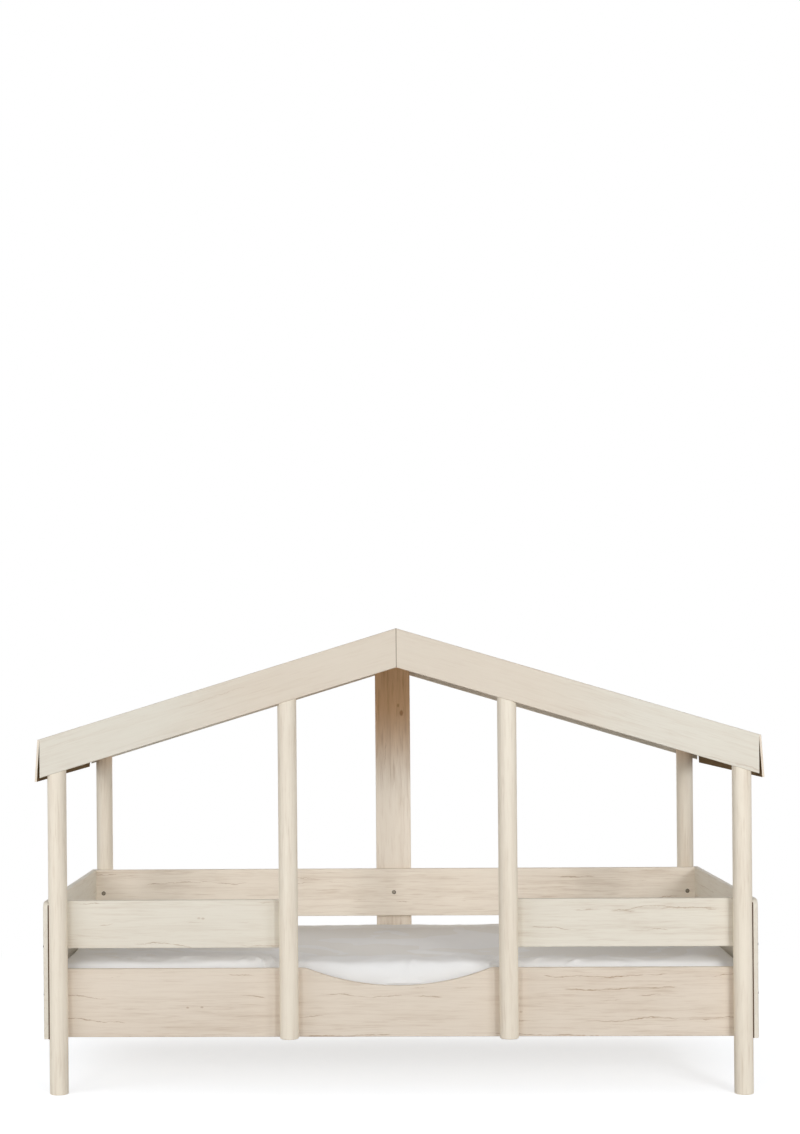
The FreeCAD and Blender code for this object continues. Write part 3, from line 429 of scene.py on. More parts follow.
def woven(name, base, shade, threads):
    """Plain woven cloth: two crossed thread waves, each shifted by the other, and slubs."""
    material, nodes, shader = new_material(name)
    coordinates = nodes.add("ShaderNodeTexCoord").outputs["Object"]
    noise = nodes.add("ShaderNodeTexNoise", {
        "Vector": coordinates, "Scale": WOBBLE_CELLS, "Detail": 2.0})
    wobble = nodes.vector("SCALE", nodes.vector("SUBTRACT", noise.outputs["Color"],
                                                (0.5, 0.5, 0.5)), scale=WOBBLE)
    parts = nodes.add("ShaderNodeSeparateXYZ", {"Vector": nodes.vector("ADD", coordinates, wobble)})
    pitch = 2 * math.pi * threads
    rise = nodes.math("MULTIPLY", parts.outputs["Z"], pitch)
    warp, weft = (nodes.math("SINE", nodes.math(
        "ADD", nodes.math("MULTIPLY", parts.outputs[axis], pitch), rise)) for axis in "XY")
    weave = nodes.math("MULTIPLY", warp, weft)
    slub = nodes.noise(nodes.vector("MULTIPLY", coordinates, SLUB_STRETCH), SLUB_CELLS, detail=4.0)
    tone = nodes.math("ADD", nodes.band(weave, -1.0, 1.0, 0.0, THREAD_SHARE),
                      nodes.band(slub, *SLUB_LEVELS, 0.0, THREAD_SHARE))
    nodes.feed(shader.inputs["Base Color"], nodes.mix(tone, base, shade))
    for key, level in CLOTH_SURFACE.items():
        shader.inputs[key].default_value = level
    bump(nodes, shader, weave, WEAVE_RELIEF, WEAVE_STRENGTH)
    return material


# ---------------------------------------------------------------- finishes of the CAD pieces

CREAM = linear(238, 232, 218)
BEIGE = linear(236, 224, 208)
POST = linear(249, 240, 223)
GABLE = linear(231, 226, 213)
# Painted shade on the gables: warmer and darker towards the ridge than at the lit ends.
GABLE_SHADE_TINT = (1.0, 0.945, 0.91, 1)
# Lighter than the front boards' cream: painted light on the boards inside, which the lamps reach
# less.
INNER_PAINTED_LIGHT = linear(250, 240, 225)
# Painted roof shade: the brown that rear timber takes towards the roof.
ROOF_SHADE_PAINT = linear(240, 207, 172)
# Painted shade under the roof, for roof panels' undersides and eave boards' inner faces.
SHADE = linear(140, 124, 102)
# Dark brown of the gables' mitre joint, and of the painted shadow line beside the posts.
JOINT_AND_SHADE_LINE = linear(92, 68, 48)
GRAIN = linear(176, 146, 116)
RAW_PINE = linear(214, 190, 152)
RAW_GRAIN = linear(158, 116, 70)
ROOF = linear(242, 231, 214)
# Dark end grain with painted shade, for the liners of the bolts' bores.
BORE_SHADE, BORE_SHADE_GRAIN = linear(96, 76, 58), linear(60, 44, 30)
# The roof's pitch, from its rise over its run.
PITCH = math.atan(0.3019)

# Knots that show in the photograph: place along the grain and across it and size, in metres,
# and strength.
KNOTS = {
    "guard_front_left": [(-0.581, 0.507, 0.004, 0.35), (-0.569, 0.506, 0.004, 0.45)],
    "rail_front": [(-0.616, 0.246, 0.0035, 0.6), (-0.574, 0.247, 0.0035, 0.6),
                   (0.354, 0.232, 0.004, 0.4)],
    "upright_rear": [(1.088, -0.030, 0.008, 0.9), (1.114, -0.019, 0.005, 0.6)],
}


def slope_turn(side):
    """Turn that lays the grain along a roof slope on one side."""
    return (0, -side * PITCH, 0)


# How a board's colour changes over it: painted shade, and the gables' mitre joint.
TONES = {
    "upright_rear": painted_roof_shade(*UPRIGHT_SHADE_HEIGHTS),
    "fascia_front_left": gable_shade_and_mitre, "fascia_front_right": gable_shade_and_mitre,
    "fascia_rear_left": gable_shade_and_mitre, "fascia_rear_right": gable_shade_and_mitre,
    "end_panel_left": painted_shade_by_post, "end_panel_right": painted_shade_by_post,
    "roof_panel_left": painted_shade_below, "roof_panel_right": painted_shade_below,
    "eave_board_left": painted_shade_inside, "eave_board_right": painted_shade_inside,
}


def paint(material, *names):
    """Give CAD pieces one finish all over."""
    for name in names:
        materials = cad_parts[name].data.materials
        if not materials:
            materials.append(material)
        for index in range(len(materials)):
            materials[index] = material


def nodes_called(start):
    """Names of the CAD pieces that begin in one way, in order."""
    return sorted(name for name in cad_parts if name.startswith(start))


def finish_boards():
    """One material a board, so that no two show the same knots."""
    rows = [
        # node, base, turn, seed, contrast, knots, cracks
        ("rail_front", BEIGE, ALONG_X, 1, 1.0, 0.12, 1.2),
        ("rail_rear", BEIGE, ALONG_X, 2, 1.0, 0.3, 1.0),
        ("guard_front_left", CREAM, ALONG_X, 3, 0.9, 0.0, 0.9),
        ("guard_front_right", CREAM, ALONG_X, 4, 0.9, 0.2, 0.9),
        ("guard_rear", INNER_PAINTED_LIGHT, ALONG_X, 5, 1.0, 0.2, 1.0),
        ("end_panel_left", CREAM, ALONG_Y, 6, 0.7, 0.3, 0.5),
        ("end_panel_right", CREAM, ALONG_Y, 7, 0.7, 0.3, 0.5),
        ("upright_rear", INNER_PAINTED_LIGHT, ALONG_Z, 8, 1.5, 0.2, 0.6),
        ("roof_panel_left", ROOF, ALONG_Y, 9, 1.0, 0.2, 0.6),
        ("roof_panel_right", ROOF, ALONG_Y, 10, 1.0, 0.2, 0.6),
        ("eave_board_left", ROOF, ALONG_Y, 11, 1.0, 0.0, 0.3),
        ("eave_board_right", ROOF, ALONG_Y, 12, 1.0, 0.0, 0.3),
        ("fascia_front_left", GABLE, slope_turn(-1), 13, 0.5, 0.0, 0.45),
        ("fascia_front_right", GABLE, slope_turn(1), 14, 0.55, 0.0, 0.45),
        ("fascia_rear_left", GABLE, slope_turn(-1), 15, 0.8, 0.2, 0.45),
        ("fascia_rear_right", GABLE, slope_turn(1), 16, 0.8, 0.2, 0.45),
        ("ridge_plate", ROOF, ALONG_X, 17, 1.0, 0.0, 0.3),
        ("ridge_beam", RAW_PINE, ALONG_Y, 18, 1.0, 0.3, 0.3),
        ("ledger_front", RAW_PINE, ALONG_X, 19, 1.0, 0.3, 0.3),
        ("ledger_rear", RAW_PINE, ALONG_X, 20, 1.0, 0.3, 0.3),
    ]
    for name, base, turn, seed, contrast, knots, cracks in rows:
        dark = RAW_GRAIN if base == RAW_PINE else GRAIN
        gloss = UNGLAZED if base == ROOF else GLAZED
        paint(wood(name, base, dark, turn, seed, contrast, knots, cracks,
                   KNOTS.get(name, ()), TONES.get(name), gloss), name)
    for number, name in enumerate(nodes_called("post_")):
        # Rear posts get painted roof shade towards their tops.
        tone = painted_roof_shade(*POST_SHADE_HEIGHTS) if "rear" in name else None
        paint(wood(name, POST, GRAIN, ALONG_Z, 30 + number, 0.8, 0.0, 0.0, tone=tone), name)
    paint(wood("cleat_pine", RAW_PINE, RAW_GRAIN, ALONG_X, 40, 1.0, 0.0),
          *nodes_called("roof_cleat"))
    slats = [name for name in nodes_called("slat_") if "tape" not in name]
    paint(wood("slat_pine", RAW_PINE, RAW_GRAIN, ALONG_Y, 41, 1.0, 0.35), *slats)


finish_boards()
# The bores' liners: dark end grain with painted shade.
wood("bore_shade", BORE_SHADE, BORE_SHADE_GRAIN, ALONG_X, 50, 1.0, 0.0, 0.0)
paint(steel("nickel", linear(168, 158, 142), 0.42),
      "bolts_rail", "bolts_guard_front", "bolts_guard_rear", "bolts_end_panel")
paint(steel("zinc", linear(186, 186, 180), 0.42), "sleeve_nuts", "screws_post", "screws_cleat",
      "screws_ledger", "screws_ridge_plate", "screws_upright", "eave_pins")
paint(woven("tape", linear(226, 221, 208), linear(190, 184, 170), 700), "slat_tape_front",
      "slat_tape_rear")
paint(woven("sheet", linear(230, 229, 229), linear(217, 216, 216), 1400), "fitted_sheet")
paint(woven("ticking", linear(238, 236, 230), linear(214, 212, 206), 900), "mattress")

# ---------------------------------------------------------------- new pieces


def new_piece(name, mesh, material, body):
    """Put a modelled piece on a body, with one finish."""
    piece = bpy.data.objects.new(name, mesh)
    scene.collection.objects.link(piece)
    mesh.materials.clear()
    mesh.materials.append(material)
    for polygon in mesh.polygons:
        polygon.use_smooth = True
    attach(piece, body)
    return piece


def baked(piece):
    """Apply every modifier of a piece."""
    bpy.context.view_layer.update()
    graph = bpy.context.evaluated_depsgraph_get()
    mesh = bpy.data.meshes.new_from_object(piece.evaluated_get(graph), depsgraph=graph)
    piece.modifiers.clear()
    piece.data = mesh
    return mesh


def positions(mesh):
    """The places of a mesh's points, one row each."""
    places = np.empty(len(mesh.vertices) * 3)
    mesh.vertices.foreach_get("co", places)
    return places.reshape(-1, 3)


def set_positions(mesh, places):
    mesh.vertices.foreach_set("co", np.ascontiguousarray(places).ravel())
    mesh.update()


# ---------------------------------------------------------------- mattress and fitted sheet

MATTRESS_LOW, MATTRESS_HIGH = (np.array(corner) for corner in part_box("mattress"))
# All lengths here are in metres. Radii of the pad's corners in plan and of its rolled edges.
CORNER_RADIUS, PAD_ROLL = 0.034, 0.020
# The pad starts this much inside its CAD solid, and the cloth's pressure fills it, by at most
# the swell. It ends this far over the solid's underside and this far under its top.
PAD_INSET, PAD_SWELL = 0.004, 0.005
PAD_BELOW, PAD_ABOVE = 0.0024, 0.0008
# How far the sheet starts off the pad, and how far its hem reaches in under it. Over the
# underside, points up to the first height are cut away beyond the hem, and points up to the
# second are pinned.
SHEET_GAP, HEM_REACH = 0.0018, 0.11
HEM_HEIGHT, HELD_HEIGHT = 0.012, 0.03
PAD_VOXEL, PAD_FRAMES = 0.024, 12
SHEET_VOXEL, SHEET_FRAMES = 0.016, 18
PAD_CLOTH = {"use_pressure": True, "uniform_pressure_force": 4.0,
             "tension_stiffness": 40.0, "compression_stiffness": 40.0}
SHEET_CLOTH = {"tension_stiffness": 15.0, "compression_stiffness": 15.0,
               "bending_stiffness": 0.1}
# How much larger the sheet is than the pad, the unevenness it starts with, and how far its
# folds may rise and its points may move.
SHEET_FULLNESS, SHEET_UNEVENNESS = 0.012, 0.0004
FOLD_HEIGHT = 0.0055
SHEET_MOVE = FOLD_HEIGHT * 1.5
SHEET_SEED = 7
# Creases of the sheet: two ends in plan with the sides unrolled, half width and height.
FOLDS = [
    ((-0.420, -0.320), (-0.345, -0.470), 0.010, 0.0055),
    ((-0.450, -0.370), (-0.372, -0.475), 0.008, 0.0045),
    ((-0.395, -0.300), (-0.330, -0.440), 0.013, 0.0040),
    ((0.235, -0.480), (0.320, -0.400), 0.008, 0.0055),
    ((0.205, -0.500), (0.330, -0.440), 0.007, 0.0045),
    ((0.255, -0.400), (0.375, -0.330), 0.014, 0.0040),
    ((-0.300, -0.400), (0.060, -0.320), 0.026, 0.0045),
    ((0.000, -0.200), (0.300, -0.380), 0.030, 0.0050),
    ((-0.280, 0.060), (0.250, -0.080), 0.050, 0.0040),
    ((-0.310, 0.300), (-0.120, 0.420), 0.050, 0.0040),
    ((-0.060, -0.520), (0.030, -0.512), 0.006, 0.0040),
    ((0.010, -0.508), (0.090, -0.522), 0.005, 0.0035),
    ((-0.700, -0.420), (-0.560, -0.360), 0.014, 0.0035),
    ((0.480, -0.470), (0.560, -0.400), 0.010, 0.0035),
]
# A crease's bow, as a share of its length times its squared share off the middle. Beside it
# runs a dip, of a share of its height and so many of its widths away.
FOLD_BOW, DIP_SHARE, DIP_AWAY = 0.18, 0.45, 1.7
# Small creases by chance round the edge: how many, and the least and the most of their place,
# turn in radians, length, width and height.
CHANCE_COUNT = 64
CHANCE_X, CHANCE_Y = (-0.95, 0.95), (0.30, 0.50)
CHANCE_TURN, CHANCE_LENGTH = (-1.3, 1.3), (0.04, 0.13)
CHANCE_WIDTH, CHANCE_HEIGHT = (0.007, 0.014), (0.0012, 0.0032)
# Low swells of the top: two wave numbers per metre, phase and height.
SWELLS = [(7.1, 3.3, 0.4, 0.0013), (-4.3, 6.9, 2.1, 0.0012), (11.7, -5.2, 4.4, 0.0008),
          (3.1, 13.0, 1.2, 0.0009)]
# The lowest and the highest that all of it makes, and the height over the underside from which
# it sets in, and over how much more it is full.
RISE_LEAST, RISE_MOST = -0.0035, 0.010
RISE_FROM, RISE_OVER = 0.02, 0.05


def slab(name, low, high, corner, roll):
    """A box with round corners in plan and rolled edges."""
    mesh = bpy.data.meshes.new(name)
    work = bmesh.new()
    bmesh.ops.create_cube(work, size=1.0)
    size, middle = high - low, (high + low) / 2
    for vertex in work.verts:
        vertex.co = Vector(middle + np.array(vertex.co) * size)
    upright = [e for e in work.edges if abs(e.verts[0].co.z - e.verts[1].co.z) > size[2] / 2]
    bmesh.ops.bevel(work, geom=upright, offset=corner, segments=8, affect="EDGES", profile=0.5)
    rims = [e for e in work.edges if abs(e.verts[0].co.z - e.verts[1].co.z) < 1e-6
            and len(e.link_faces) == 2
            and abs(e.link_faces[0].normal.z - e.link_faces[1].normal.z) > 0.5]
    bmesh.ops.bevel(work, geom=rims, offset=roll, segments=4, affect="EDGES", profile=0.5)
    work.to_mesh(mesh)
    work.free()
    return mesh


def remeshed(piece, voxel):
    """Cover a piece with an even net of quads."""
    step = piece.modifiers.new("remesh", "REMESH")
    step.mode = "VOXEL"
    step.voxel_size = voxel
    return baked(piece)


def run_cloth(piece, frames, cap):
    """Run the cloth, then keep each point within a cap of where it began."""
    start = positions(piece.data)
    scene.frame_start, scene.frame_end = 1, frames
    for number in range(1, frames + 1):
        scene.frame_set(number)
    mesh = baked(piece)
    moved = positions(mesh) - start
    reach = np.linalg.norm(moved, axis=1, keepdims=True)
    moved *= np.minimum(1.0, cap / np.maximum(reach, 1e-9))
    set_positions(mesh, start + moved)
    scene.frame_set(1)


def cloth(piece, frames, settings):
    """Make a piece cloth without weight."""
    step = piece.modifiers.new("cloth", "CLOTH")
    step.settings.quality = 5
    step.point_cache.frame_start, step.point_cache.frame_end = 1, frames
    step.settings.effector_weights.gravity = 0.0
    for key, content in settings.items():
        setattr(step.settings, key, content)


def make_pad():
    """The foam block in its cover: a firm crowned pad."""
    mesh = slab("mattress_pad", MATTRESS_LOW + PAD_INSET, MATTRESS_HIGH - PAD_INSET,
                CORNER_RADIUS, PAD_ROLL)
    pad = new_piece("mattress_pad", mesh, bpy.data.materials["ticking"], "mattress")
    remeshed(pad, PAD_VOXEL)
    cloth(pad, PAD_FRAMES, PAD_CLOTH)
    run_cloth(pad, PAD_FRAMES, PAD_SWELL)
    places = positions(pad.data)
    places[:, 2] = np.maximum(places[:, 2], MATTRESS_LOW[2] + PAD_BELOW)
    places[:, 2] = np.minimum(places[:, 2], MATTRESS_HIGH[2] - PAD_ABOVE)
    set_positions(pad.data, places)
    return pad


def side_room(places):
    """How far each point lies inside the mattress's outline in plan."""
    return np.minimum(MATTRESS_HIGH[0] - np.abs(places[:, 0]),
                      MATTRESS_HIGH[1] - np.abs(places[:, 1]))


def make_sheet():
    """Cotton sheet over the pad: full on top, tucked under all round, held by its hem."""
    mesh = slab("sheet_cotton", MATTRESS_LOW + PAD_INSET - SHEET_GAP,
                MATTRESS_HIGH - PAD_INSET + SHEET_GAP, CORNER_RADIUS, PAD_ROLL)
    sheet = new_piece("sheet_cotton", mesh, bpy.data.materials["sheet"], "mattress")
    remeshed(sheet, SHEET_VOXEL)
    places = positions(sheet.data)
    room = side_room(places)
    under = places[:, 2] < MATTRESS_LOW[2] + HEM_HEIGHT
    work = bmesh.new()
    work.from_mesh(sheet.data)
    work.verts.ensure_lookup_table()
    inner = [vertex for vertex in work.verts if under[vertex.index]
             and room[vertex.index] > HEM_REACH]
    bmesh.ops.delete(work, geom=inner, context="VERTS")
    work.to_mesh(sheet.data)
    work.free()
    start = positions(sheet.data)
    normals = np.array([vertex.normal for vertex in sheet.data.vertices])
    unevenness = np.random.default_rng(SHEET_SEED).normal(
        0.0, SHEET_UNEVENNESS, (len(start), 1))
    set_positions(sheet.data, start + normals * unevenness)
    hem = sheet.vertex_groups.new(name="hem")
    low = np.nonzero(start[:, 2] < MATTRESS_LOW[2] + HELD_HEIGHT)[0]
    hem.add([int(number) for number in low], 1.0, "REPLACE")
    cloth(sheet, SHEET_FRAMES, {"vertex_group_mass": hem.name,
                                "shrink_min": -SHEET_FULLNESS, **SHEET_CLOTH})
    run_cloth(sheet, SHEET_FRAMES, SHEET_MOVE)
    moved = positions(sheet.data) - start
    outward = (moved * normals).sum(axis=1, keepdims=True)
    moved += (np.clip(outward, 0.0, FOLD_HEIGHT) - outward) * normals
    set_positions(sheet.data, start + moved)
    eased = sheet.modifiers.new("eased", "SMOOTH")
    eased.factor, eased.iterations = 0.5, 3
    finer = sheet.modifiers.new("subdivision", "SUBSURF")
    finer.levels = finer.render_levels = 1
    baked(sheet)
    lay_folds(sheet.data)
    return sheet


def unrolled(places):
    """Where each point of the sheet would lie if its sides were folded up flat."""
    drop = np.maximum(0.0, MATTRESS_HIGH[2] - places[:, 2])
    across = places[:, 1] + np.sign(places[:, 1]) * drop
    return places[:, 0], across


def lay_folds(mesh):
    """Low swells over the top, and the creases that the posts and the entry press into it."""
    places = positions(mesh)
    normals = np.array([vertex.normal for vertex in mesh.vertices])
    along, across = unrolled(places)
    rise = np.zeros(len(places))
    for (x0, y0), (x1, y1), width, height in FOLDS + chance_folds():
        length = math.hypot(x1 - x0, y1 - y0)
        dx, dy = (x1 - x0) / length, (y1 - y0) / length
        share = ((along - x0) * dx + (across - y0) * dy) / length
        bow = FOLD_BOW * length * (share - 0.5) ** 2
        off = (across - y0) * dx - (along - x0) * dy + bow
        taper = np.clip(1.0 - (2.0 * share - 1.0) ** 2, 0.0, 1.0)
        rise += height * taper * (np.exp(-(off / width) ** 2)
                                  - DIP_SHARE * np.exp(-((off - DIP_AWAY * width) / width) ** 2))
    top = np.clip(normals[:, 2], 0.0, 1.0)
    for wave_x, wave_y, phase, height in SWELLS:
        rise += top * height * np.sin(wave_x * along + wave_y * across + phase)
    hold = np.clip((places[:, 2] - MATTRESS_LOW[2] - RISE_FROM) / RISE_OVER, 0.0, 1.0)
    rise = np.clip(rise, RISE_LEAST, RISE_MOST) * hold
    set_positions(mesh, places + normals * rise[:, None])


def chance_folds():
    """Small creases round the mattress's edge, the same on each run."""
    chance = np.random.default_rng(SHEET_SEED)
    folds = []
    for _ in range(CHANCE_COUNT):
        x = chance.uniform(*CHANCE_X)
        y = chance.choice((-1, 1)) * chance.uniform(*CHANCE_Y)
        turn = chance.uniform(*CHANCE_TURN)
        reach = chance.uniform(*CHANCE_LENGTH)
        folds.append(((x, y), (x + reach * math.sin(turn), y - np.sign(y) * reach * math.cos(turn)),
                      chance.uniform(*CHANCE_WIDTH), chance.uniform(*CHANCE_HEIGHT)))
    return folds


pad = make_pad()
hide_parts("mattress")
sheet = make_sheet()
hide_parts("fitted_sheet")

# ---------------------------------------------------------------- bolts, screws and bores

# Turned profiles from the driven end: radius and height past the head's seat, in metres.
BOLT_PROFILE = [(0.0046, -0.0060), (0.0050, -0.0055), (0.0050, -0.0004), (0.0047, 0.0),
                (0.0030, 0.0), (0.0030, 0.0292), (0.0024, 0.0300), (0.0, 0.0300)]
HEX_SOCKET_APOTHEM, HEX_SOCKET_DEPTH = 0.0025, 0.0032
SCREW_PROFILE = [(0.0042, -0.0030), (0.0043, -0.0027), (0.0021, 0.0)]
# Radii of a screw's shank and of its tip, and the length of its taper.
SCREW_SHANK, SCREW_TIP, SCREW_TAPER = 0.0021, 0.0003, 0.006
# The cross recess: how far its arms and its waist reach, its depth, and its narrowing below.
CROSS_ARM, CROSS_WAIST, CROSS_DEPTH, CROSS_NARROWING = 0.0023, 0.0008, 0.0016, 0.6
# A bore's liner, dark end grain with painted shade: radii of the hole in its floor, of its wall
# and of its rim, and its depth; then how far its floor is lifted, how far its rim is eased, slopes
# in and is sunk at its edge, and how far it stands proud.
BORE_FLOOR, BORE_RADIUS, BORE_RIM, BORE_DEPTH = 0.0036, 0.0063, 0.0074, 0.0070
LINER_LIFT, RIM_EASE, RIM_SLOPE, RIM_SUNK, RIM_PROUD = 0.0002, 0.0005, 0.0003, 0.0001, 0.00004
# Steps of a turned part round its axis, and an arm of the cross in steps.
TURNS, ARM_STEPS = 24, 3
# Two faces of a turned part that meet at more than this angle show an edge.
EDGE_ANGLE = math.radians(35)
# Points nearer than this are one point, those nearer to an end are the end's, and a board's
# box is this much larger where a seat is looked up.
SAME_POINT, NEAR_END, BOX_SLACK = 1e-6, 1e-4, 0.001


def turned(rings):
    """Vertices and faces of a turned part; a ring's radius may depend on the angle."""
    vertices, faces = [], []
    for radius, height in rings:
        for step in range(TURNS):
            angle = 2 * math.pi * step / TURNS
            reach = radius(angle) if callable(radius) else radius
            vertices.append((reach * math.cos(angle), reach * math.sin(angle), height))
    for ring in range(len(rings) - 1):
        for step in range(TURNS):
            here, after = ring * TURNS + step, ring * TURNS + (step + 1) % TURNS
            faces.append((here, after, after + TURNS, here + TURNS))
    return vertices, faces


def hexagon(angle):
    """Reach of a hexagon's side."""
    return HEX_SOCKET_APOTHEM / math.cos(angle % (math.pi / 3) - math.pi / 6)


def cross(angle):
    """Reach of a cross: an arm every quarter turn."""
    off = abs((angle + math.pi / 4) % (math.pi / 2) - math.pi / 4)
    return CROSS_ARM if off < ARM_STEPS / 2 * 2 * math.pi / TURNS else CROSS_WAIST


def bolt_rings():
    """A bolt from the floor of its hexagon socket to its end."""
    top = BOLT_PROFILE[0][1]
    floor = top + HEX_SOCKET_DEPTH
    return [(0.0, floor), (hexagon, floor), (hexagon, top)] + BOLT_PROFILE


def screw_rings(length):
    """A screw from the floor of its cross recess to its tip."""
    top = SCREW_PROFILE[0][1]
    floor = top + CROSS_DEPTH
    tip = [(SCREW_SHANK, length - SCREW_TAPER), (SCREW_TIP, length)]
    recess = [(0.0, floor), (lambda angle: cross(angle) * CROSS_NARROWING, floor), (cross, top)]
    return recess + SCREW_PROFILE + tip


def shade_liner_rings():
    """A bore's floor, its round wall and its eased rim, which carry the bore's painted shade."""
    return [(BORE_FLOOR, -LINER_LIFT), (BORE_RADIUS, -LINER_LIFT),
            (BORE_RADIUS, -BORE_DEPTH + RIM_EASE),
            (BORE_RIM - RIM_SLOPE, -BORE_DEPTH - RIM_PROUD), (BORE_RIM, -BORE_DEPTH + RIM_SUNK)]


def solids_of(name):
    """The separate solids of a CAD node, each as an array of its points."""
    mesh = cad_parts[name].data
    keys = [tuple(round(c, 5) for c in vertex.co) for vertex in mesh.vertices]
    parent = {key: key for key in keys}

    def root(key):
        while parent[key] != key:
            parent[key] = parent[parent[key]]
            key = parent[key]
        return key

    for edge in mesh.edges:
        parent[root(keys[edge.vertices[0]])] = root(keys[edge.vertices[1]])
    groups = {}
    for key in parent:
        groups.setdefault(root(key), []).append(key)
    return [np.array(groups[key]) for key in sorted(groups)]


def seats_of(name, head_height):
    """Where each fastener's head is seated, its direction into the wood, and its shank."""
    seats = []
    for points in solids_of(name):
        middle = points.mean(axis=0)
        axis = np.linalg.svd(points - middle)[2][0]
        along = (points - middle) @ axis
        low, high = along.min(), along.max()
        centre = middle - axis * (middle @ axis) + axis * ((points @ axis).min()
                                                           + (points @ axis).max()) / 2
        off = np.linalg.norm(points - centre - np.outer((points - centre) @ axis, axis), axis=1)
        if off[along > high - NEAR_END].max() > off[along < low + NEAR_END].max():
            axis = -axis
        top = centre - axis * (high - low) / 2
        seats.append((Vector(top + axis * head_height), Vector(axis), high - low - head_height))
    return seats


def copies(name, shapes, material):
    """One piece of turned parts, each put at its seat."""
    vertices, faces = [], []
    for seat, axis, rings in shapes:
        turn = Vector((0, 0, 1)).rotation_difference(axis).to_matrix()
        some, corners = turned(rings)
        first = len(vertices)
        vertices += [turn @ Vector(place) + seat for place in some]
        faces += [tuple(first + corner for corner in face) for face in corners]
    mesh = bpy.data.meshes.new(name)
    mesh.from_pydata(vertices, [], faces)
    mesh.validate()
    work = bmesh.new()
    work.from_mesh(mesh)
    bmesh.ops.remove_doubles(work, verts=work.verts, dist=SAME_POINT)
    bmesh.ops.recalc_face_normals(work, faces=work.faces)
    work.to_mesh(mesh)
    work.free()
    piece = new_piece(name, mesh, material, "frame")
    mesh.set_sharp_from_angle(angle=EDGE_ANGLE)
    return piece


def board_at(place, boards):
    """The board whose box a place lies in or touches."""
    for name in boards:
        low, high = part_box(name)
        if all(low[k] - BOX_SLACK < place[k] < high[k] + BOX_SLACK for k in range(3)):
            return name
    raise ValueError(f"no board at {tuple(place)}")


# The bolts' CAD pieces and the boards that they hold, the screws' CAD pieces, and how high the
# heads of both are, in metres.
BOLTED = {
    "bolts_rail": ("rail_front", "rail_rear"),
    "bolts_guard_front": ("guard_front_left", "guard_front_right"),
    "bolts_guard_rear": ("guard_rear",),
    "bolts_end_panel": ("end_panel_left", "end_panel_right"),
}
SCREWED = ("screws_post", "screws_cleat", "screws_ledger", "screws_ridge_plate", "screws_upright")
BOLT_HEAD, SCREW_HEAD = 0.006, 0.003


def make_fasteners():
    """Bolts with sockets, screws with cross recesses, and liners with painted shade in the bolts'
    bores.
    """
    nickel, zinc = bpy.data.materials["nickel"], bpy.data.materials["zinc"]
    bores = {}
    for node, boards in BOLTED.items():
        seats = seats_of(node, BOLT_HEAD)
        bolts = copies(node + "_hex", [(seat, axis, bolt_rings()) for seat, axis, _ in seats],
                       nickel)
        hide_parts(node)
        for seat, axis, _ in seats:
            bores.setdefault(board_at(seat, boards), []).append((seat, axis, shade_liner_rings()))
    for board, shade_liners in bores.items():
        copies("shaded_bores_" + board, shade_liners, bpy.data.materials["bore_shade"])
    for node in SCREWED:
        seats = seats_of(node, SCREW_HEAD)
        screws = copies(node + "_cross", [(seat, axis, screw_rings(length))
                                          for seat, axis, length in seats], zinc)
        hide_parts(node)


make_fasteners()

# ---------------------------------------------------------------- stage and light

FLOOR_SIZE = 60.0
WHITE = (1.0, 1.0, 1.0, 1.0)
FLOOR_GREY = (0.8, 0.8, 0.8, 1)
# Near the bed the floor that is seen is grey with a glow, so that shadows show. Between these
# distances from the middle, in metres, it goes over into white; they are longer along the bed.
NEAR_GREY, NEAR_GLOW, FAR_GLOW = (0.73, 0.76, 0.80, 1), 0.65, 1.0
NEAR_UNTIL, FAR_FROM, FLOOR_SHAPE = 1.3, 2.8, (0.8, 1.0, 0.0)
# Light from all round, and the white that is seen.
AMBIENT_COLOUR, AMBIENT, WHITE_SEEN = linear(250, 250, 252), 0.31, 1.0
# Lamps: place and target, width and height in metres, and power in watts.
LAMPS = {
    "key": ((2.1, -2.8, 1.2), (0.2, -0.5, 0.5), 0.7, 0.9, 16),
    "side": ((-2.7, -2.2, 1.1), (-0.5, -0.5, 0.6), 1.6, 1.6, 17),
    "front": ((3.3, -8.2, 2.5), (0, -0.2, 0.4), 1.1, 1.8, 145),
    "front_left": ((-3.0, -8.0, 2.6), (0, 0, 0.5), 2.0, 2.0, 104),
    "inner": ((0.0, -0.30, 0.95), (0, 0.42, 0.38), 1.3, 0.3, 1.3),
    "back_high": ((0.0, 3.4, 2.6), (0, 0, 0), 5.0, 1.5, 36),
    "back_low": ((0.0, 3.4, 0.5), (0, 0, 0), 5.0, 0.8, 12),
}


def seen_directly(nodes):
    """1 for rays that show the background: from the camera, a gloss or a glass."""
    rays = nodes.add("ShaderNodeLightPath").outputs
    seen = nodes.math("MAXIMUM", rays["Is Camera Ray"], rays["Is Glossy Ray"])
    return nodes.math("MAXIMUM", seen, rays["Is Transmission Ray"])


def mixed(nodes, share, low, high):
    """Two shaders mixed by a share of the second."""
    node = nodes.add("ShaderNodeMixShader", {"Fac": share})
    nodes.feed(node.inputs[1], low.outputs[0])
    nodes.feed(node.inputs[2], high.outputs[0])
    return node


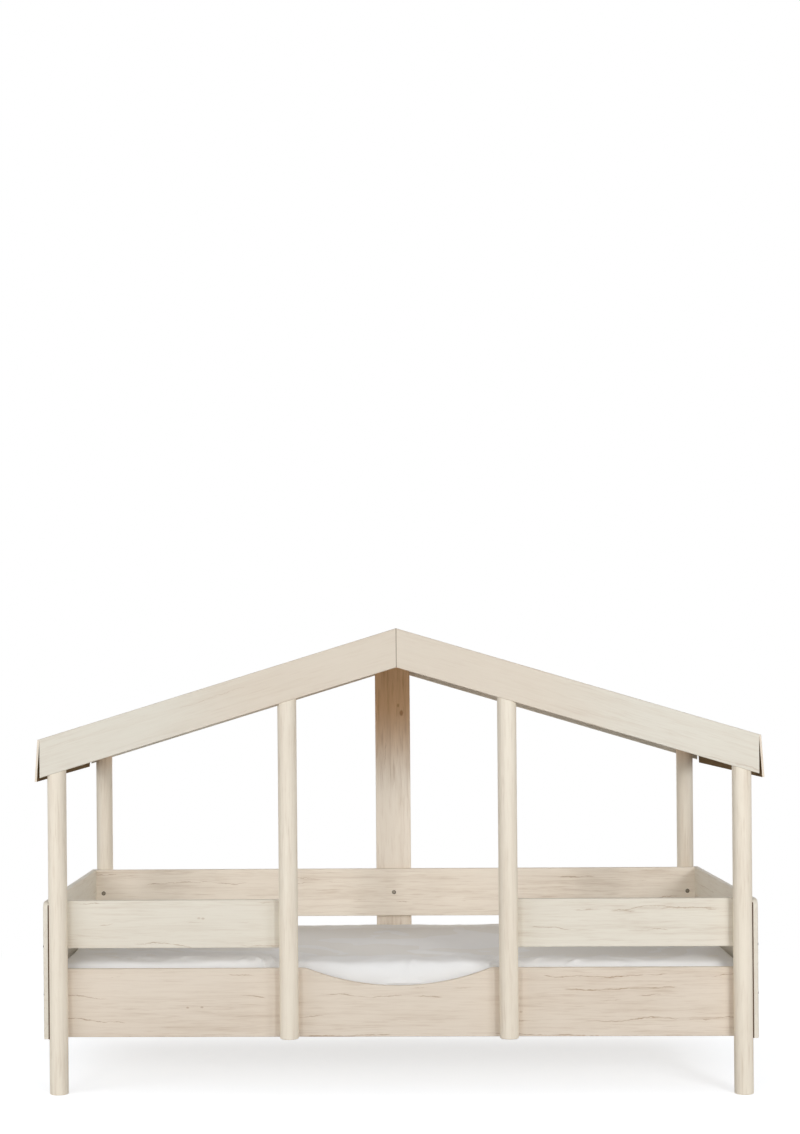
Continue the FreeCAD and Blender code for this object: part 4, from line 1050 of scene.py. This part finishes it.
def make_floor():
    """A pale floor: white where it is lit, grey where the bed shades it."""
    mesh = bpy.data.meshes.new("floor")
    half = FLOOR_SIZE / 2
    mesh.from_pydata([(-half, -half, 0), (half, -half, 0), (half, half, 0), (-half, half, 0)],
                     [], [(0, 1, 2, 3)])
    floor = bpy.data.objects.new("floor", mesh)
    scene.collection.objects.link(floor)
    material = bpy.data.materials.new("floor")
    nodes = bare_tree(material)
    diffuse = nodes.add("ShaderNodeBsdfDiffuse", {"Color": FLOOR_GREY})
    place = nodes.add("ShaderNodeTexCoord").outputs["Object"]
    away = nodes.vector("LENGTH", nodes.vector("MULTIPLY", place, FLOOR_SHAPE))
    soft = nodes.add("ShaderNodeBsdfDiffuse", {"Color": NEAR_GREY})
    glow_near, glow_far = (nodes.add("ShaderNodeEmission", {"Color": WHITE, "Strength": strength})
                           for strength in (NEAR_GLOW, FAR_GLOW))
    near = nodes.add("ShaderNodeAddShader")
    nodes.feed(near.inputs[0], soft.outputs[0])
    nodes.feed(near.inputs[1], glow_near.outputs[0])
    shown = mixed(nodes, nodes.band(away, NEAR_UNTIL, FAR_FROM), near, glow_far)
    surface = mixed(nodes, seen_directly(nodes), diffuse, shown)
    nodes.add("ShaderNodeOutputMaterial", {"Surface": surface.outputs[0]})
    mesh.materials.append(material)


def make_world():
    """Soft light from all round, and white where the background is seen."""
    world = bpy.data.worlds.new("studio")
    scene.world = world
    nodes = bare_tree(world)
    ambient, white = (nodes.add("ShaderNodeBackground", {"Color": colour, "Strength": strength})
                      for colour, strength in ((AMBIENT_COLOUR, AMBIENT), (WHITE, WHITE_SEEN)))
    surface = mixed(nodes, seen_directly(nodes), ambient, white)
    nodes.add("ShaderNodeOutputWorld", {"Surface": surface.outputs[0]})


def softbox(name, place, target, width, height, power):
    """A rectangular lamp that faces a target."""
    lamp = bpy.data.lights.new(name, "AREA")
    lamp.shape = "RECTANGLE"
    lamp.size, lamp.size_y = width, height
    lamp.energy = power
    box = bpy.data.objects.new(name, lamp)
    scene.collection.objects.link(box)
    box.location = place
    box.visible_camera = False
    box.rotation_euler = (Vector(target) - Vector(place)).to_track_quat("-Z", "Y").to_euler()


make_floor()
make_world()
for name, row in LAMPS.items():
    softbox(name, *row)
scene.view_settings.view_transform = "Standard"
